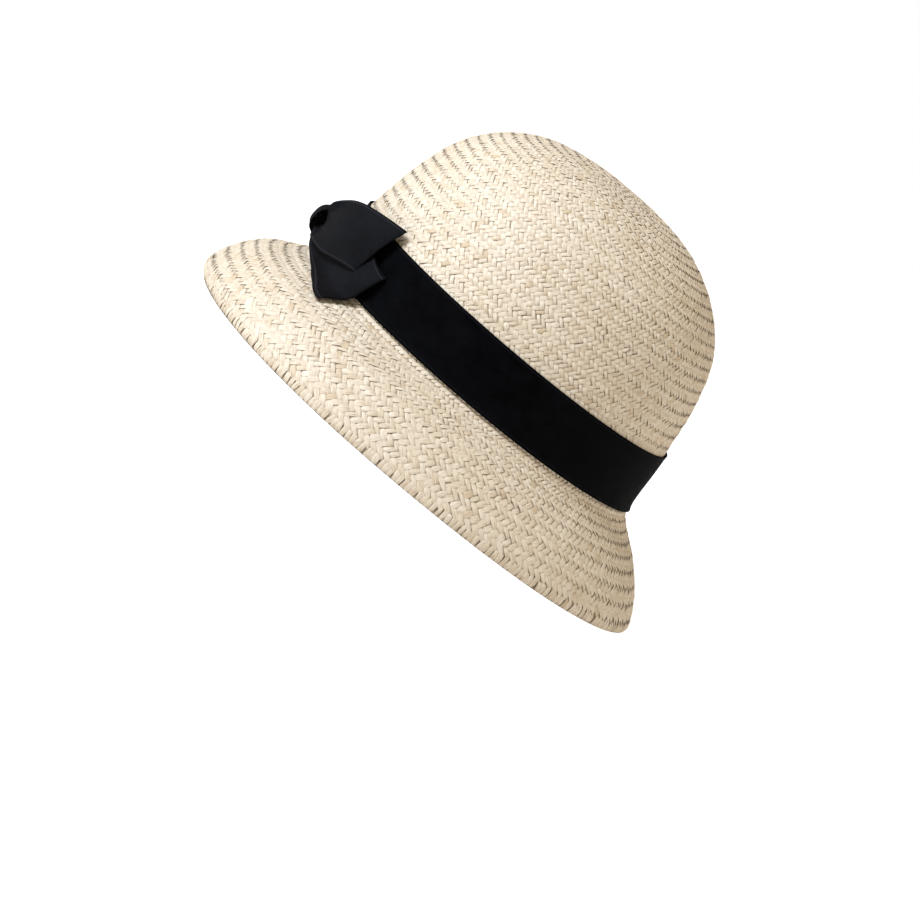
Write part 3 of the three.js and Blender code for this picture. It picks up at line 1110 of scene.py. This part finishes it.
@dataclass
class StrawBody:
    """Crown and brim: a thin ground wall with woven floats over both faces.

    Args:
        form: The hat's surface.
        wall: Thickness of the whole wall.
        ground_inset: How far the ground wall lies inside either face.
        float_lift: Height of a float's dome.
        float_overlap: Length of a float, a share of the way it crosses.
        float_bed: How far a float's lowest level lies over the ground wall.
        sink: Least and greatest change of that level, in mm.
        unevenness: Spread of the floats' widths.
        slimmest: Least change of a width, as a share.
        fullest: Greatest change of a width, as a share.
        fattening: Middle change of a width, as a share.
        length_spread: Spread of lengths.
        lift_spread: Spread of lifts.
        least_lift: Least share of the lift.
        most_lift: Greatest share of the lift.
        least_apart: Least distance between neighbours, a share of the row's height.
        most_apart: Greatest distance between neighbours, a share of the row's height.
        place_spread: Spread of places round the row, a share of the distance between floats.
        wander: How far a row strays from its level, a share of its height.
        lean: Spread of the floats' slants.
        edge_strip: Height of the edge row, over which the weave starts.
        tip_strip: Distance from the tip at which the weave ends.
        least_pitch: Least height of a row.
        ground_rows: Rows of the ground wall's grid.
        ground_columns: Columns of the ground wall's grid.
        climb_samples: Samples up the wall for measuring it.
        climb_tracks: Lines up the wall that are measured.
        oval_samples: Samples round an oval for even places.
        strands: Tones of the strands.
        edge: The turned-in edge row.
        seed: Seed of every random draw.
        zones: Numbers of floats round, from the brim edge up.
    """

    form: HatForm
    wall: float = 2.0 * MM
    ground_inset: float = 0.55 * MM
    float_lift: float = 0.42 * MM
    float_overlap: float = 1.16
    float_bed: float = 0.1 * MM
    sink: tuple[float, float] = (-0.12, 0.06)
    unevenness: float = 0.13
    slimmest: float = -0.25
    fullest: float = 0.24
    fattening: float = 0.03
    length_spread: float = 0.05
    lift_spread: float = 0.22
    least_lift: float = 0.5
    most_lift: float = 1.6
    least_apart: float = 0.6
    most_apart: float = 1.6
    place_spread: float = 0.05
    wander: float = 0.1
    lean: float = 0.10
    edge_strip: float = 5.2 * MM
    tip_strip: float = 1.2 * MM
    least_pitch: float = 1.6 * MM
    ground_rows: int = 73
    ground_columns: int = 145
    climb_samples: int = 1500
    climb_tracks: int = 8
    oval_samples: int = 721
    strands: StrandTones = StrandTones()
    edge: EdgeRow = EdgeRow()
    seed: int = 7
    zones: tuple[WeaveZone, ...] = (
        WeaveZone(0.275, 200),
        WeaveZone(0.78, 176),
        WeaveZone(0.89, 150),
        WeaveZone(0.945, 118),
        WeaveZone(0.975, 86),
        WeaveZone(0.99, 58),
        WeaveZone(0.997, 34),
        WeaveZone(1.0, 16),
    )

    def ground(self, material: bpy.types.Material) -> bpy.types.Object:
        """The thin wall under the floats.

        Args:
            material: Its finish.

        Returns:
            The closed wall.
        """
        shares = np.linspace(0, 1, self.ground_rows)
        angles = np.linspace(0, TURN, self.ground_columns)
        angles[-1] = 0
        outer = np.empty((len(shares), len(angles), 3))
        inner = np.empty_like(outer)
        thin = self.wall - self.ground_inset
        for row, share in enumerate(shares):
            if row == len(shares) - 1:
                tip = self.form.point(np.array([1.0]), np.array([0.0]))[0]
                outer[row] = tip - (0, 0, self.ground_inset)
                inner[row] = tip - (0, 0, thin)
                continue
            points, _, _, outs = self.form.basis(np.full(len(angles), share), angles)
            if row == 0:
                outs[:, 2] = 0
                outs = unit(outs)
            outer[row] = points - outs * self.ground_inset
            inner[row] = points - outs * thin
        uvs = np.zeros((len(shares), len(angles), 2))
        made = walled_mesh("straw_ground", outer, inner, uvs, wraps=True, capped=True)
        made.data.materials.append(material)
        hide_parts("straw_body")
        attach(made, "root")
        return made

    def climb(self) -> tuple[np.ndarray, np.ndarray, np.ndarray]:
        """Mean distance up the wall and round it.

        Returns:
            Shares, distances from the edge, and lengths round, at those shares.
        """
        almost_top = 1 - 1e-5
        shares = np.linspace(0, almost_top, self.climb_samples)
        tracks = [
            self.form.point(shares, np.full(len(shares), angle))
            for angle in np.linspace(0, TURN, self.climb_tracks + 1)[:-1]
        ]
        steps = [np.linalg.norm(np.diff(track, axis=0), axis=1) for track in tracks]
        climbed = np.concatenate([[0], np.cumsum(np.mean(steps, axis=0))])
        ovals = smooth_through(self.form.ovals, shares)
        return shares, climbed, oval_lengths(ovals[:, 0], ovals[:, 1])

    def even_angles(self, share: float, places: np.ndarray) -> np.ndarray:
        """Angles at even distances round one oval.

        Args:
            share: Place up the hat.
            places: Shares of the way round, from the front.

        Returns:
            The angles.
        """
        angles = np.linspace(0, TURN, self.oval_samples)
        track = self.form.point(np.full(len(angles), share), angles)
        steps = np.linalg.norm(np.diff(track, axis=0), axis=1)
        walked = np.concatenate([[0], np.cumsum(steps)])
        return np.interp((places % 1.0) * walked[-1], walked, angles)

    def rows(self) -> list[tuple[float, float, int]]:
        """The weave's rows from the brim edge to the tip.

        Returns:
            For each row its middle distance up the wall, its height on the wall and its count.
        """
        shares, climbed, rounds = self.climb()
        heights = smooth_through(self.form.ovals, shares)[:, 2] / self.form.ovals[-1, 2]
        made = []
        at = self.edge_strip
        while at < climbed[-1] - self.tip_strip:
            height = float(np.interp(at, climbed, heights))
            zone = next(zone for zone in self.zones if height <= zone.top)
            around = float(np.interp(at, climbed, rounds))
            pitch = max(around / zone.count, self.least_pitch)
            made.append((at + pitch / 2, pitch, zone.count))
            at += pitch
        return made

    def floats(self, face: Face) -> dict[str, FloatField]:
        """Lay the floats of one face.

        Args:
            face: Outside or inside.

        Returns:
            The floats below and above the band, by piece name.
        """
        random = np.random.default_rng(self.seed + face.value)
        shares, climbed, _ = self.climb()
        hidden = self.form.foot_height + self.form.band_lift
        fields = {"brim": FloatField(), "crown": FloatField()}
        for number, (at, pitch, count) in enumerate(self.rows()):
            share = float(np.interp(at, climbed, shares))
            height = float(smooth_through(self.form.ovals, np.array([share]))[0, 2])
            under_band = hidden + pitch < height < hidden + self.form.ribbon_width - pitch
            if face is Face.OUTSIDE and under_band:
                continue
            places = (np.arange(count) + 0.5 * (number % 2)) / count
            places = places + random.normal(0, self.place_spread, count) / count
            angles = self.even_angles(share, places)
            strays = self.strays(pitch, number, angles)
            local = np.interp(at + strays, climbed, shares)
            points, rounds, ups, outs = self.form.basis(local, angles)
            edge_low = np.interp(at - pitch / 2, climbed, shares)
            edge_high = np.interp(at + pitch / 2, climbed, shares)
            low = self.form.point(np.full(count, edge_low), angles)
            high = self.form.point(np.full(count, edge_high), angles)
            tall = np.linalg.norm(high - low, axis=1)
            gap = np.roll(points, -1, axis=0) - np.roll(points, 1, axis=0)
            apart = np.linalg.norm(gap, axis=1) / 2
            wide = np.clip(apart, self.least_apart * pitch, self.most_apart * pitch)
            slant = 1 if number % 2 else -1
            lean = 1 + random.normal(0, self.lean, count)
            runs = rounds * (wide * lean)[:, None] * slant + ups * tall[:, None]
            lengths = np.linalg.norm(runs, axis=1)
            widths = wide * tall / lengths
            uneven = random.normal(self.fattening, self.unevenness, count)
            widths = widths * (1.0 + uneven.clip(self.slimmest, self.fullest))
            stretch = 1 + random.normal(0, self.length_spread, count)
            lengths = lengths * self.float_overlap * stretch
            rising = 1 + random.normal(0, self.lift_spread, count)
            lifts = self.float_lift * rising.clip(self.least_lift, self.most_lift)
            offsets = random.uniform(*self.sink, count) * MM
            if face is Face.OUTSIDE:
                depth = -self.ground_inset + self.float_bed + offsets
            else:
                depth = -self.wall + self.ground_inset - self.float_bed - offsets
            middles = points + outs * depth[:, None]
            tones = self.strands.draw(random, number, angles)
            sizes = np.stack([lengths, widths, lifts], axis=1)
            name = "brim" if height < hidden + self.form.ribbon_width / 2 else "crown"
            fields[name].lay(middles, outs * face.value, unit(runs), sizes, tones)
        return fields

    def strays(self, pitch: float, number: int, angles: np.ndarray) -> np.ndarray:
        """How far the floats of a row stray up or down the wall, in slow waves round it.

        Args:
            pitch: The row's height.
            number: The row's number.
            angles: The angle of each of its floats.

        Returns:
            One distance for each float.
        """
        slow = np.sin(3 * angles + 0.31 * number)
        quick = 0.6 * np.sin(7 * angles + 0.17 * number)
        return self.wander * pitch * (slow + quick)

    def edge_floats(self, face: Face) -> FloatField:
        """The row of strands turned in along the brim edge.

        Args:
            face: Outside or inside.

        Returns:
            The floats.
        """
        random = np.random.default_rng(self.seed + self.edge.seed + face.value)
        shares, climbed, rounds = self.climb()
        edge = self.edge
        count = int(rounds[0] / edge.pitch)
        share = float(np.interp(edge.height, climbed, shares))
        places = (np.arange(count) + random.normal(0, edge.spread, count)) / count
        angles = self.even_angles(share, places)
        points, around, ups, outs = self.form.basis(np.full(count, share), angles)
        slants = edge.slant + random.normal(0, edge.spread, count)
        runs = unit(ups + around * slants[:, None] * face.value)
        inset = self.ground_inset - edge.bed
        depth = -inset if face is Face.OUTSIDE else -self.wall + inset
        sizes = np.stack(
            [
                edge.length * (1 + random.normal(0, edge.length_spread, count)),
                edge.width * (1 + random.normal(0, edge.spread, count)),
                self.float_lift * edge.lift * (1 + random.normal(0, edge.lift_spread, count)),
            ],
            axis=1,
        )
        tones = (edge.tone + random.normal(0, edge.tone_spread, count)).clip(0, 1)
        made = FloatField()
        made.lay(points + outs * depth, outs * face.value, runs, sizes, tones)
        return made

    def build(
        self,
        straw: bpy.types.Material,
        ground: bpy.types.Material,
    ) -> list[bpy.types.Object]:
        """Make every straw piece.

        Args:
            straw: Finish of the floats.
            ground: Finish of the wall under them.

        Returns:
            The pieces.
        """
        tree = float_tree(straw)
        made = [self.ground(ground)]
        outside = self.floats(Face.OUTSIDE)
        inside = self.floats(Face.INSIDE)
        inner = FloatField(inside["brim"].rows + inside["crown"].rows)
        laid = (
            ("brim_weave", outside["brim"], (5, 4)),
            ("crown_weave", outside["crown"], (5, 4)),
            ("inside_weave", inner, (4, 3)),
            ("edge_weave", self.edge_floats(Face.OUTSIDE), (6, 4)),
            ("edge_weave_inside", self.edge_floats(Face.INSIDE), (5, 3)),
        )
        for name, part, steps in laid:
            piece = part.weave(name, tree, steps)
            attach(piece, "root")
            made.append(piece)
        return made


@dataclass
class HatBand:
    """The ribbon round the foot of the crown.

    Args:
        form: The hat's surface.
        thickness: Thickness of the ribbon.
        lip: How far its edges stand out.
        lip_share: Share of the ribbon's width over which a lip dies away.
        looseness: Space under the ribbon beyond the clearance.
        ripple: Height of its slow waves.
        steps_around: Faces round it.
        steps_across: Faces across it.
    """

    form: HatForm
    thickness: float = 0.6 * MM
    lip: float = 0.45 * MM
    lip_share: float = 0.045
    looseness: float = 0.25 * MM
    ripple: float = 0.1 * MM
    steps_around: int = 240
    steps_across: int = 22

    def build(self, ribbon: bpy.types.Material) -> bpy.types.Object:
        """Make the band.

        Args:
            ribbon: Its finish.

        Returns:
            The band.
        """
        low = self.form.foot_height + self.form.band_lift
        across = np.linspace(0, 1, self.steps_across + 1)
        angles = np.linspace(0, TURN, self.steps_around + 1)
        angles[-1] = 0
        rounds = np.linspace(0, 1, self.steps_around + 1)
        length = math.pi * (self.form.foot_length + self.form.foot_width) / 2
        outer = np.empty((len(across), len(angles), 3))
        inner = np.empty_like(outer)
        uvs = np.empty((len(across), len(angles), 2))
        for row, share in enumerate(across):
            height = low + self.form.ribbon_width * share
            place = float(self.form.share_at(np.array([height]))[0])
            points, _, _, outs = self.form.basis(np.full(len(angles), place), angles)
            outs[:, 2] = 0
            outs = unit(outs)
            nearness = math.exp(-share / self.lip_share) + math.exp(-(1 - share) / self.lip_share)
            waves = np.sin(2 * angles + 4 * share) + np.sin(5 * angles - 3 * share)
            stand = self.form.clearance + self.looseness + self.lip * nearness + self.ripple * waves
            inner[row] = points + outs * stand[:, None]
            outer[row] = points + outs * (stand + self.thickness)[:, None]
            uvs[row, :, 0] = rounds * length
            uvs[row, :, 1] = share * self.form.ribbon_width
        made = walled_mesh("ribbon_band", outer, inner, uvs, wraps=True)
        made.data.materials.append(ribbon)
        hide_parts("hat_band")
        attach(made, "root")
        return made


@dataclass
class RibbonLoop:
    """One folded loop of the bow.

    Args:
        form: The hat's surface.
        name: The piece's name.
        node: The node that it stands for.
        table: Sections along the ribbon, from the knot and back to it.
        reach: Distance from the front to the loop's end, round the crown foot.
        side: The side of the knot that it lies on.
        start: Distance from the front at which it leaves the knot.
        depth: How far out of the straw a share of 1 lies.
        thickness: Thickness of the ribbon.
        steps_per_row: Faces from one section to the next.
        steps_across: Faces across it.
        pleat: Height of the pleats near the knot.
        pleats: Number of pleats.
        pleat_run: Share of the reach over which they stay full.
        pleat_fade: Share of the reach over which they die away.
    """

    form: HatForm
    name: str
    node: str
    table: tuple[RibbonSection, ...]
    reach: float
    side: Side
    start: float = 0.6 * MM
    depth: float = 18.0 * MM
    thickness: float = 0.6 * MM
    steps_per_row: int = 8
    steps_across: int = 28
    pleat: float = 0.5 * MM
    pleats: float = 3.5
    pleat_run: float = 0.1
    pleat_fade: float = 0.16

    def middle_surface(self) -> tuple[np.ndarray, np.ndarray, np.ndarray]:
        """The ribbon's middle surface.

        Returns:
            The grid of points, the distance along the ribbon at each row, and the ribbon shares.
        """
        rows = self.table
        low = np.array([(r.low_around, r.low, r.low_out) for r in rows])
        high = np.array([(r.high_around, r.high, r.high_out) for r in rows])
        middle = np.array(
            [((r.low_around + r.high_around) / 2, (r.low + r.high) / 2, r.mid_out) for r in rows]
        )
        shares = np.linspace(0, 1, (len(rows) - 1) * self.steps_per_row + 1)
        lows, highs, mids = (smooth_through(edge, shares) for edge in (low, high, middle))
        bends = 2 * mids - 0.5 * lows - 0.5 * highs
        across = np.linspace(0, 1, self.steps_across + 1)
        grid = (
            lows[:, None] * ((1 - across) ** 2)[None, :, None]
            + bends[:, None] * (2 * across * (1 - across))[None, :, None]
            + highs[:, None] * (across**2)[None, :, None]
        )
        near = np.exp(-np.maximum(grid[:, :, 0] - self.pleat_run, 0) / self.pleat_fade)
        wave = np.sin(TURN * self.pleats * across)[None, :] * np.sin(math.pi * across)[None, :]
        around = self.side.value * (self.start + grid[:, :, 0] * (self.reach - self.start))
        up = grid[:, :, 1] * self.form.ribbon_width
        out = grid[:, :, 2] * self.depth + self.pleat * near * wave
        points = self.form.standoff(around.ravel(), up.ravel(), out.ravel())
        points = points.reshape(*grid.shape[:2], 3)
        centre = points[:, self.steps_across // 2]
        strides = np.linalg.norm(np.diff(centre, axis=0), axis=1)
        return points, np.concatenate([[0], np.cumsum(strides)]), across

    def build(self, ribbon: bpy.types.Material, rests_on: Sequence[str]) -> bpy.types.Object:
        """Make the loop.

        Args:
            ribbon: Its finish.
            rests_on: Names of the pieces that it lies on; not used.

        Returns:
            The loop.
        """
        grid, along, across = self.middle_surface()
        if self.side is Side.RIGHT:
            grid = grid[:, ::-1]
        outer, inner = thickened(grid, self.thickness, closed=False)
        uvs = np.empty((*grid.shape[:2], 2))
        uvs[:, :, 0] = along[:, None]
        uvs[:, :, 1] = across[None, :] * self.form.ribbon_width
        made = walled_mesh(self.name, outer, inner, uvs, wraps=False)
        made.data.materials.append(ribbon)
        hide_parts(self.node)
        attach(made, "root")
        return made


def thickened(grid: np.ndarray, thickness: float, closed: bool) -> tuple[np.ndarray, np.ndarray]:
    """Two faces of a ribbon on either side of its middle surface.

    Args:
        grid: The middle surface, rows by columns by 3.
        thickness: The ribbon's thickness.
        closed: True where the last row is the first again.

    Returns:
        The outer and the inner grid.
    """
    if closed:
        ring = grid[:-1]
        along = np.roll(ring, -1, axis=0) - np.roll(ring, 1, axis=0)
        along = np.concatenate([along, along[:1]])
    else:
        along = np.gradient(grid, axis=0)
    sideways = np.gradient(grid, axis=1)
    outs = unit(np.cross(sideways, along))
    return grid + outs * thickness / 2, grid - outs * thickness / 2


@dataclass
class BowKnot:
    """The gathered ribbon wrapped round the inner ends of the loops.

    Args:
        form: The hat's surface.
        depth: How far its outside lies out of the straw.
        width: Width of the gathered ribbon.
        height: Height of the wrap.
        rise: Height of its middle over the crown foot.
        fullness: Fullness of its section, where 2 is a plain oval.
        seat: How far its back lies off the straw.
        thickness: Thickness of the gathered ribbon.
        steps_around: Faces round the wrap.
        steps_across: Faces across it.
        pleat: Height of its folds.
        pleats: Number of folds.
        pleat_phase: Where the first fold starts, in radians.
        waist: How far the middle draws in, a share of the height.
    """

    form: HatForm
    depth: float = 17.8 * MM
    width: float = 11.5 * MM
    height: float = 15.6 * MM
    rise: float = 12.8 * MM
    fullness: float = 2.5
    seat: float = 2.1 * MM
    thickness: float = 0.8 * MM
    steps_around: int = 96
    steps_across: int = 24
    pleat: float = 0.32 * MM
    pleats: float = 3.0
    pleat_phase: float = 0.8
    waist: float = 0.1

    def middle_ring(self) -> np.ndarray:
        """The wrap's middle surface, rows round it by columns across it."""
        turns = np.linspace(0, TURN, self.steps_around + 1)
        turns[-1] = 0
        across = np.linspace(0, 1, self.steps_across + 1)
        half_height = (self.height - self.thickness) / 2
        half_depth = (self.depth - self.thickness / 2 - self.seat) / 2
        power = 2 / self.fullness
        rising = np.sign(np.cos(turns)) * np.abs(np.cos(turns)) ** power
        standing = -np.sign(np.sin(turns)) * np.abs(np.sin(turns)) ** power
        folds = self.pleat * np.cos(TURN * self.pleats * across + self.pleat_phase)
        waist = 1 - self.waist * np.sin(math.pi * across)
        up = self.rise + rising[:, None] * (half_height * waist + folds)[None, :]
        out = self.seat + half_depth + standing[:, None] * (half_depth * np.ones_like(across))
        out = out + np.maximum(standing, 0)[:, None] * folds[None, :]
        around = np.broadcast_to(self.width * (across - 0.5), up.shape)
        points = self.form.standoff(around.ravel(), up.ravel(), out.ravel())
        return points.reshape(*up.shape, 3)

    def build(self, ribbon: bpy.types.Material) -> bpy.types.Object:
        """Make the knot.

        Args:
            ribbon: Its finish.

        Returns:
            The knot.
        """
        grid = self.middle_ring()
        outer, inner = thickened(grid, self.thickness, closed=True)
        centre = grid[:, self.steps_across // 2]
        length = float(np.linalg.norm(np.diff(centre, axis=0), axis=1).sum())
        uvs = np.empty((*grid.shape[:2], 2))
        uvs[:, :, 0] = (np.linspace(0, 1, grid.shape[0]) * length)[:, None]
        uvs[:, :, 1] = (np.linspace(0, 1, grid.shape[1]) * self.form.ribbon_width)[None, :]
        swapped = [np.swapaxes(part, 0, 1)[::-1] for part in (outer, inner, uvs)]
        made = walled_mesh("bow_knot_wrap", *swapped, wraps=True)
        made.data.materials.append(ribbon)
        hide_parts("bow_knot")
        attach(made, "root")
        return made


def bow_loops(form: HatForm) -> tuple[RibbonLoop, ...]:
    """The loops of the bow, the lowest first.

    Args:
        form: The hat's surface.

    Returns:
        The loops.
    """
    return (
        RibbonLoop(form, "bow_lower", "bow_lower_loop", LOWER_LOOP, 64 * MM, Side.LEFT),
        RibbonLoop(form, "bow_upper", "bow_upper_loop", UPPER_LOOP, 56 * MM, Side.LEFT),
        RibbonLoop(form, "bow_right", "bow_right_loop", RIGHT_LOOP, 50 * MM, Side.RIGHT),
    )


@dataclass(frozen=True)
class Lamp:
    """A soft square light that looks at the hat.

    Args:
        name: Its name.
        spot: Where it stands.
        size: Length of its side.
        power: Its power in watts.
        tint: Its linear colour.
    """

    name: str
    spot: tuple[float, float, float]
    size: float
    power: float
    tint: tuple[float, float, float] = (1.0, 1.0, 1.0)


@dataclass
class Studio:
    """A pale floor, soft light and a camera at the photograph's angle to the hat.

    Args:
        azimuth: Angle of the camera from the front towards the wearer's left, in degrees.
        elevation: Angle of the camera over the level, in degrees.
        roll: How far the camera is turned about its own line of sight, in degrees.
        distance: Distance of the camera from its target.
        target: The point that the camera is placed from.
        focal_px: Focal length, in pixels of the picture.
        frame_px: Side of the picture.
        target_x_px: Where the target shows, from the picture's left.
        target_y_px: Where the target shows, from the picture's top.
        sensor_mm: Width of the sensor.
        ambient: Strength of the surroundings.
        floor_glow: How far the floor glows towards the camera.
        floor_half: Half the floor's side.
        floor_drop: How far the floor lies under the hat.
        floor_grey: The floor's linear shade.
        nearest: Nearest distance that the camera sees.
        farthest: Farthest distance that the camera sees.
        fill_tint: Linear colour of the surroundings' light.
        lamps: The lights.
    """

    azimuth: float = 80.75
    elevation: float = 6.59
    roll: float = 40.95
    distance: float = 1.81
    target: tuple[float, float, float] = (0.0, 0.0, 0.085)
    focal_px: float = 3607.7
    frame_px: float = 920.0
    target_x_px: float = 525.8
    target_y_px: float = 319.25
    sensor_mm: float = 36.0
    ambient: float = 0.45
    floor_glow: float = 0.72
    floor_half: float = 6.0
    floor_drop: float = 0.2 * MM
    floor_grey: float = 0.9
    nearest: float = 0.05
    farthest: float = 20.0
    fill_tint: tuple[float, float, float] = (1.0, 0.9, 0.77)
    lamps: tuple[Lamp, ...] = (
        Lamp("key", (0.95, -2.0, 1.3), 0.8, 65.0, (0.9, 1.02, 1.23)),
        Lamp("rim", (0.35, 1.9, 0.6), 0.9, 9.5),
    )

    def camera(self) -> None:
        """Place the camera, rolled as the photograph is."""
        azimuth, elevation, roll = (
            math.radians(value) for value in (self.azimuth, self.elevation, self.roll)
        )
        level_part = math.cos(elevation)
        across, along = math.sin(azimuth) * level_part, -math.cos(azimuth) * level_part
        back = Vector((across, along, math.sin(elevation)))
        level = (-back).cross(Vector((0, 0, 1))).normalized()
        upright = level.cross(-back)
        right = level * math.cos(roll) + upright * math.sin(roll)
        up = -level * math.sin(roll) + upright * math.cos(roll)
        off_x = (self.target_x_px - self.frame_px / 2) / self.focal_px
        off_y = (self.target_y_px - self.frame_px / 2) / self.focal_px
        ahead = (-back - right * off_x + up * off_y).normalized()
        right = (right - ahead * right.dot(ahead)).normalized()
        up = right.cross(ahead)
        data = bpy.data.cameras.new("camera")
        data.sensor_width = self.sensor_mm
        data.lens = self.sensor_mm * self.focal_px / self.frame_px
        data.clip_start = self.nearest
        data.clip_end = self.farthest
        made = bpy.data.objects.new("camera", data)
        turned = Matrix((right, up, -ahead)).transposed().to_4x4()
        made.matrix_world = Matrix.Translation(Vector(self.target) + back * self.distance) @ turned
        bpy.context.scene.collection.objects.link(made)
        bpy.context.scene.camera = made

    def floor(self) -> None:
        """A plain pale floor."""
        half = self.floor_half
        corners = np.array([(-half, -half), (half, -half), (half, half), (-half, half)])
        points = np.column_stack([corners, np.full(len(corners), -self.floor_drop)])
        made = mesh_object("floor", points, [(0, 1, 2, 3)])
        material, nodes, shader = new_material("floor")
        shader.inputs["Base Color"].default_value = (*[self.floor_grey] * 3, 1)
        shader.inputs["Roughness"].default_value = 0.9
        shader.inputs["Specular IOR Level"].default_value = 0.0
        shader.inputs["Emission Color"].default_value = (1.0, 1.0, 1.0, 1)
        path = nodes.add("ShaderNodeLightPath")
        glow = nodes.math("MULTIPLY", path.outputs["Is Camera Ray"], self.floor_glow)
        nodes.feed(glow, shader.inputs["Emission Strength"])
        made.data.materials.append(material)

    def light(self, lamp: Lamp) -> None:
        """Add one light.

        Args:
            lamp: Its place, size and colour.
        """
        data = bpy.data.lights.new(lamp.name, "AREA")
        data.shape = "SQUARE"
        data.size = lamp.size
        data.energy = lamp.power
        data.color = lamp.tint
        made = bpy.data.objects.new(lamp.name, data)
        made.location = lamp.spot
        look = Vector(self.target) - Vector(lamp.spot)
        made.rotation_euler = look.to_track_quat("-Z", "Y").to_euler()
        bpy.context.scene.collection.objects.link(made)

    def world(self) -> None:
        """White surroundings."""
        world = bpy.data.worlds.new("studio")
        world.use_nodes = True
        nodes = Nodes(world.node_tree)
        shade = world.node_tree.nodes["Background"]
        path = nodes.add("ShaderNodeLightPath")
        camera_ray = path.outputs["Is Camera Ray"]
        colour = nodes.mixed(camera_ray, self.fill_tint, (1.0, 1.0, 1.0))
        nodes.feed(colour, shade.inputs["Color"])
        seen = nodes.math("MULTIPLY", camera_ray, 1.0 - self.ambient)
        nodes.feed(nodes.math("ADD", seen, self.ambient), shade.inputs["Strength"])
        bpy.context.scene.world = world
        bpy.context.scene.view_settings.view_transform = "Standard"

    def build(self) -> None:
        """Set the whole studio up."""
        self.camera()
        self.floor()
        self.world()
        for lamp in self.lamps:
            self.light(lamp)


def report(name: str, made: bpy.types.Object) -> None:
    """Log one piece's size."""
    made.data.calc_loop_triangles()
    LOG.info("%s: %s has %d triangles", name, made.name, len(made.data.loop_triangles))


def main() -> None:
    """Build the hat piece by piece."""
    Studio().build()
    form = HatForm()
    straw = StrawFinish().build(grain_group())
    ground = GroundFinish().build()
    ribs = rib_group()
    # The band's copy of the black ribbon has darker black and edge colours than the bow's copy:
    # painted shade on the band.
    shaded_ribbon = RibbonFinish(
        name="black_ribbon_painted_shade",
        black=(0.0004, 0.0004, 0.0005),
        edge=(0.007, 0.007, 0.009),
        sheen=0.004,
        gloss=0.02,
    ).build(ribs, form.ribbon_width)
    # The bow's copy has the lighter colours: the lit copy of the same ribbon, painted light.
    ribbon = RibbonFinish().build(ribs, form.ribbon_width)
    for piece in StrawBody(form).build(straw, ground):
        report("straw", piece)
    report("band", HatBand(form).build(shaded_ribbon))
    for loop in bow_loops(form):
        report("bow", loop.build(ribbon, ["ribbon_band"]))
    report("bow", BowKnot(form).build(ribbon))


if __name__ == "__main__":
    logging.basicConfig(level=logging.INFO, format="%(message)s")
    main()
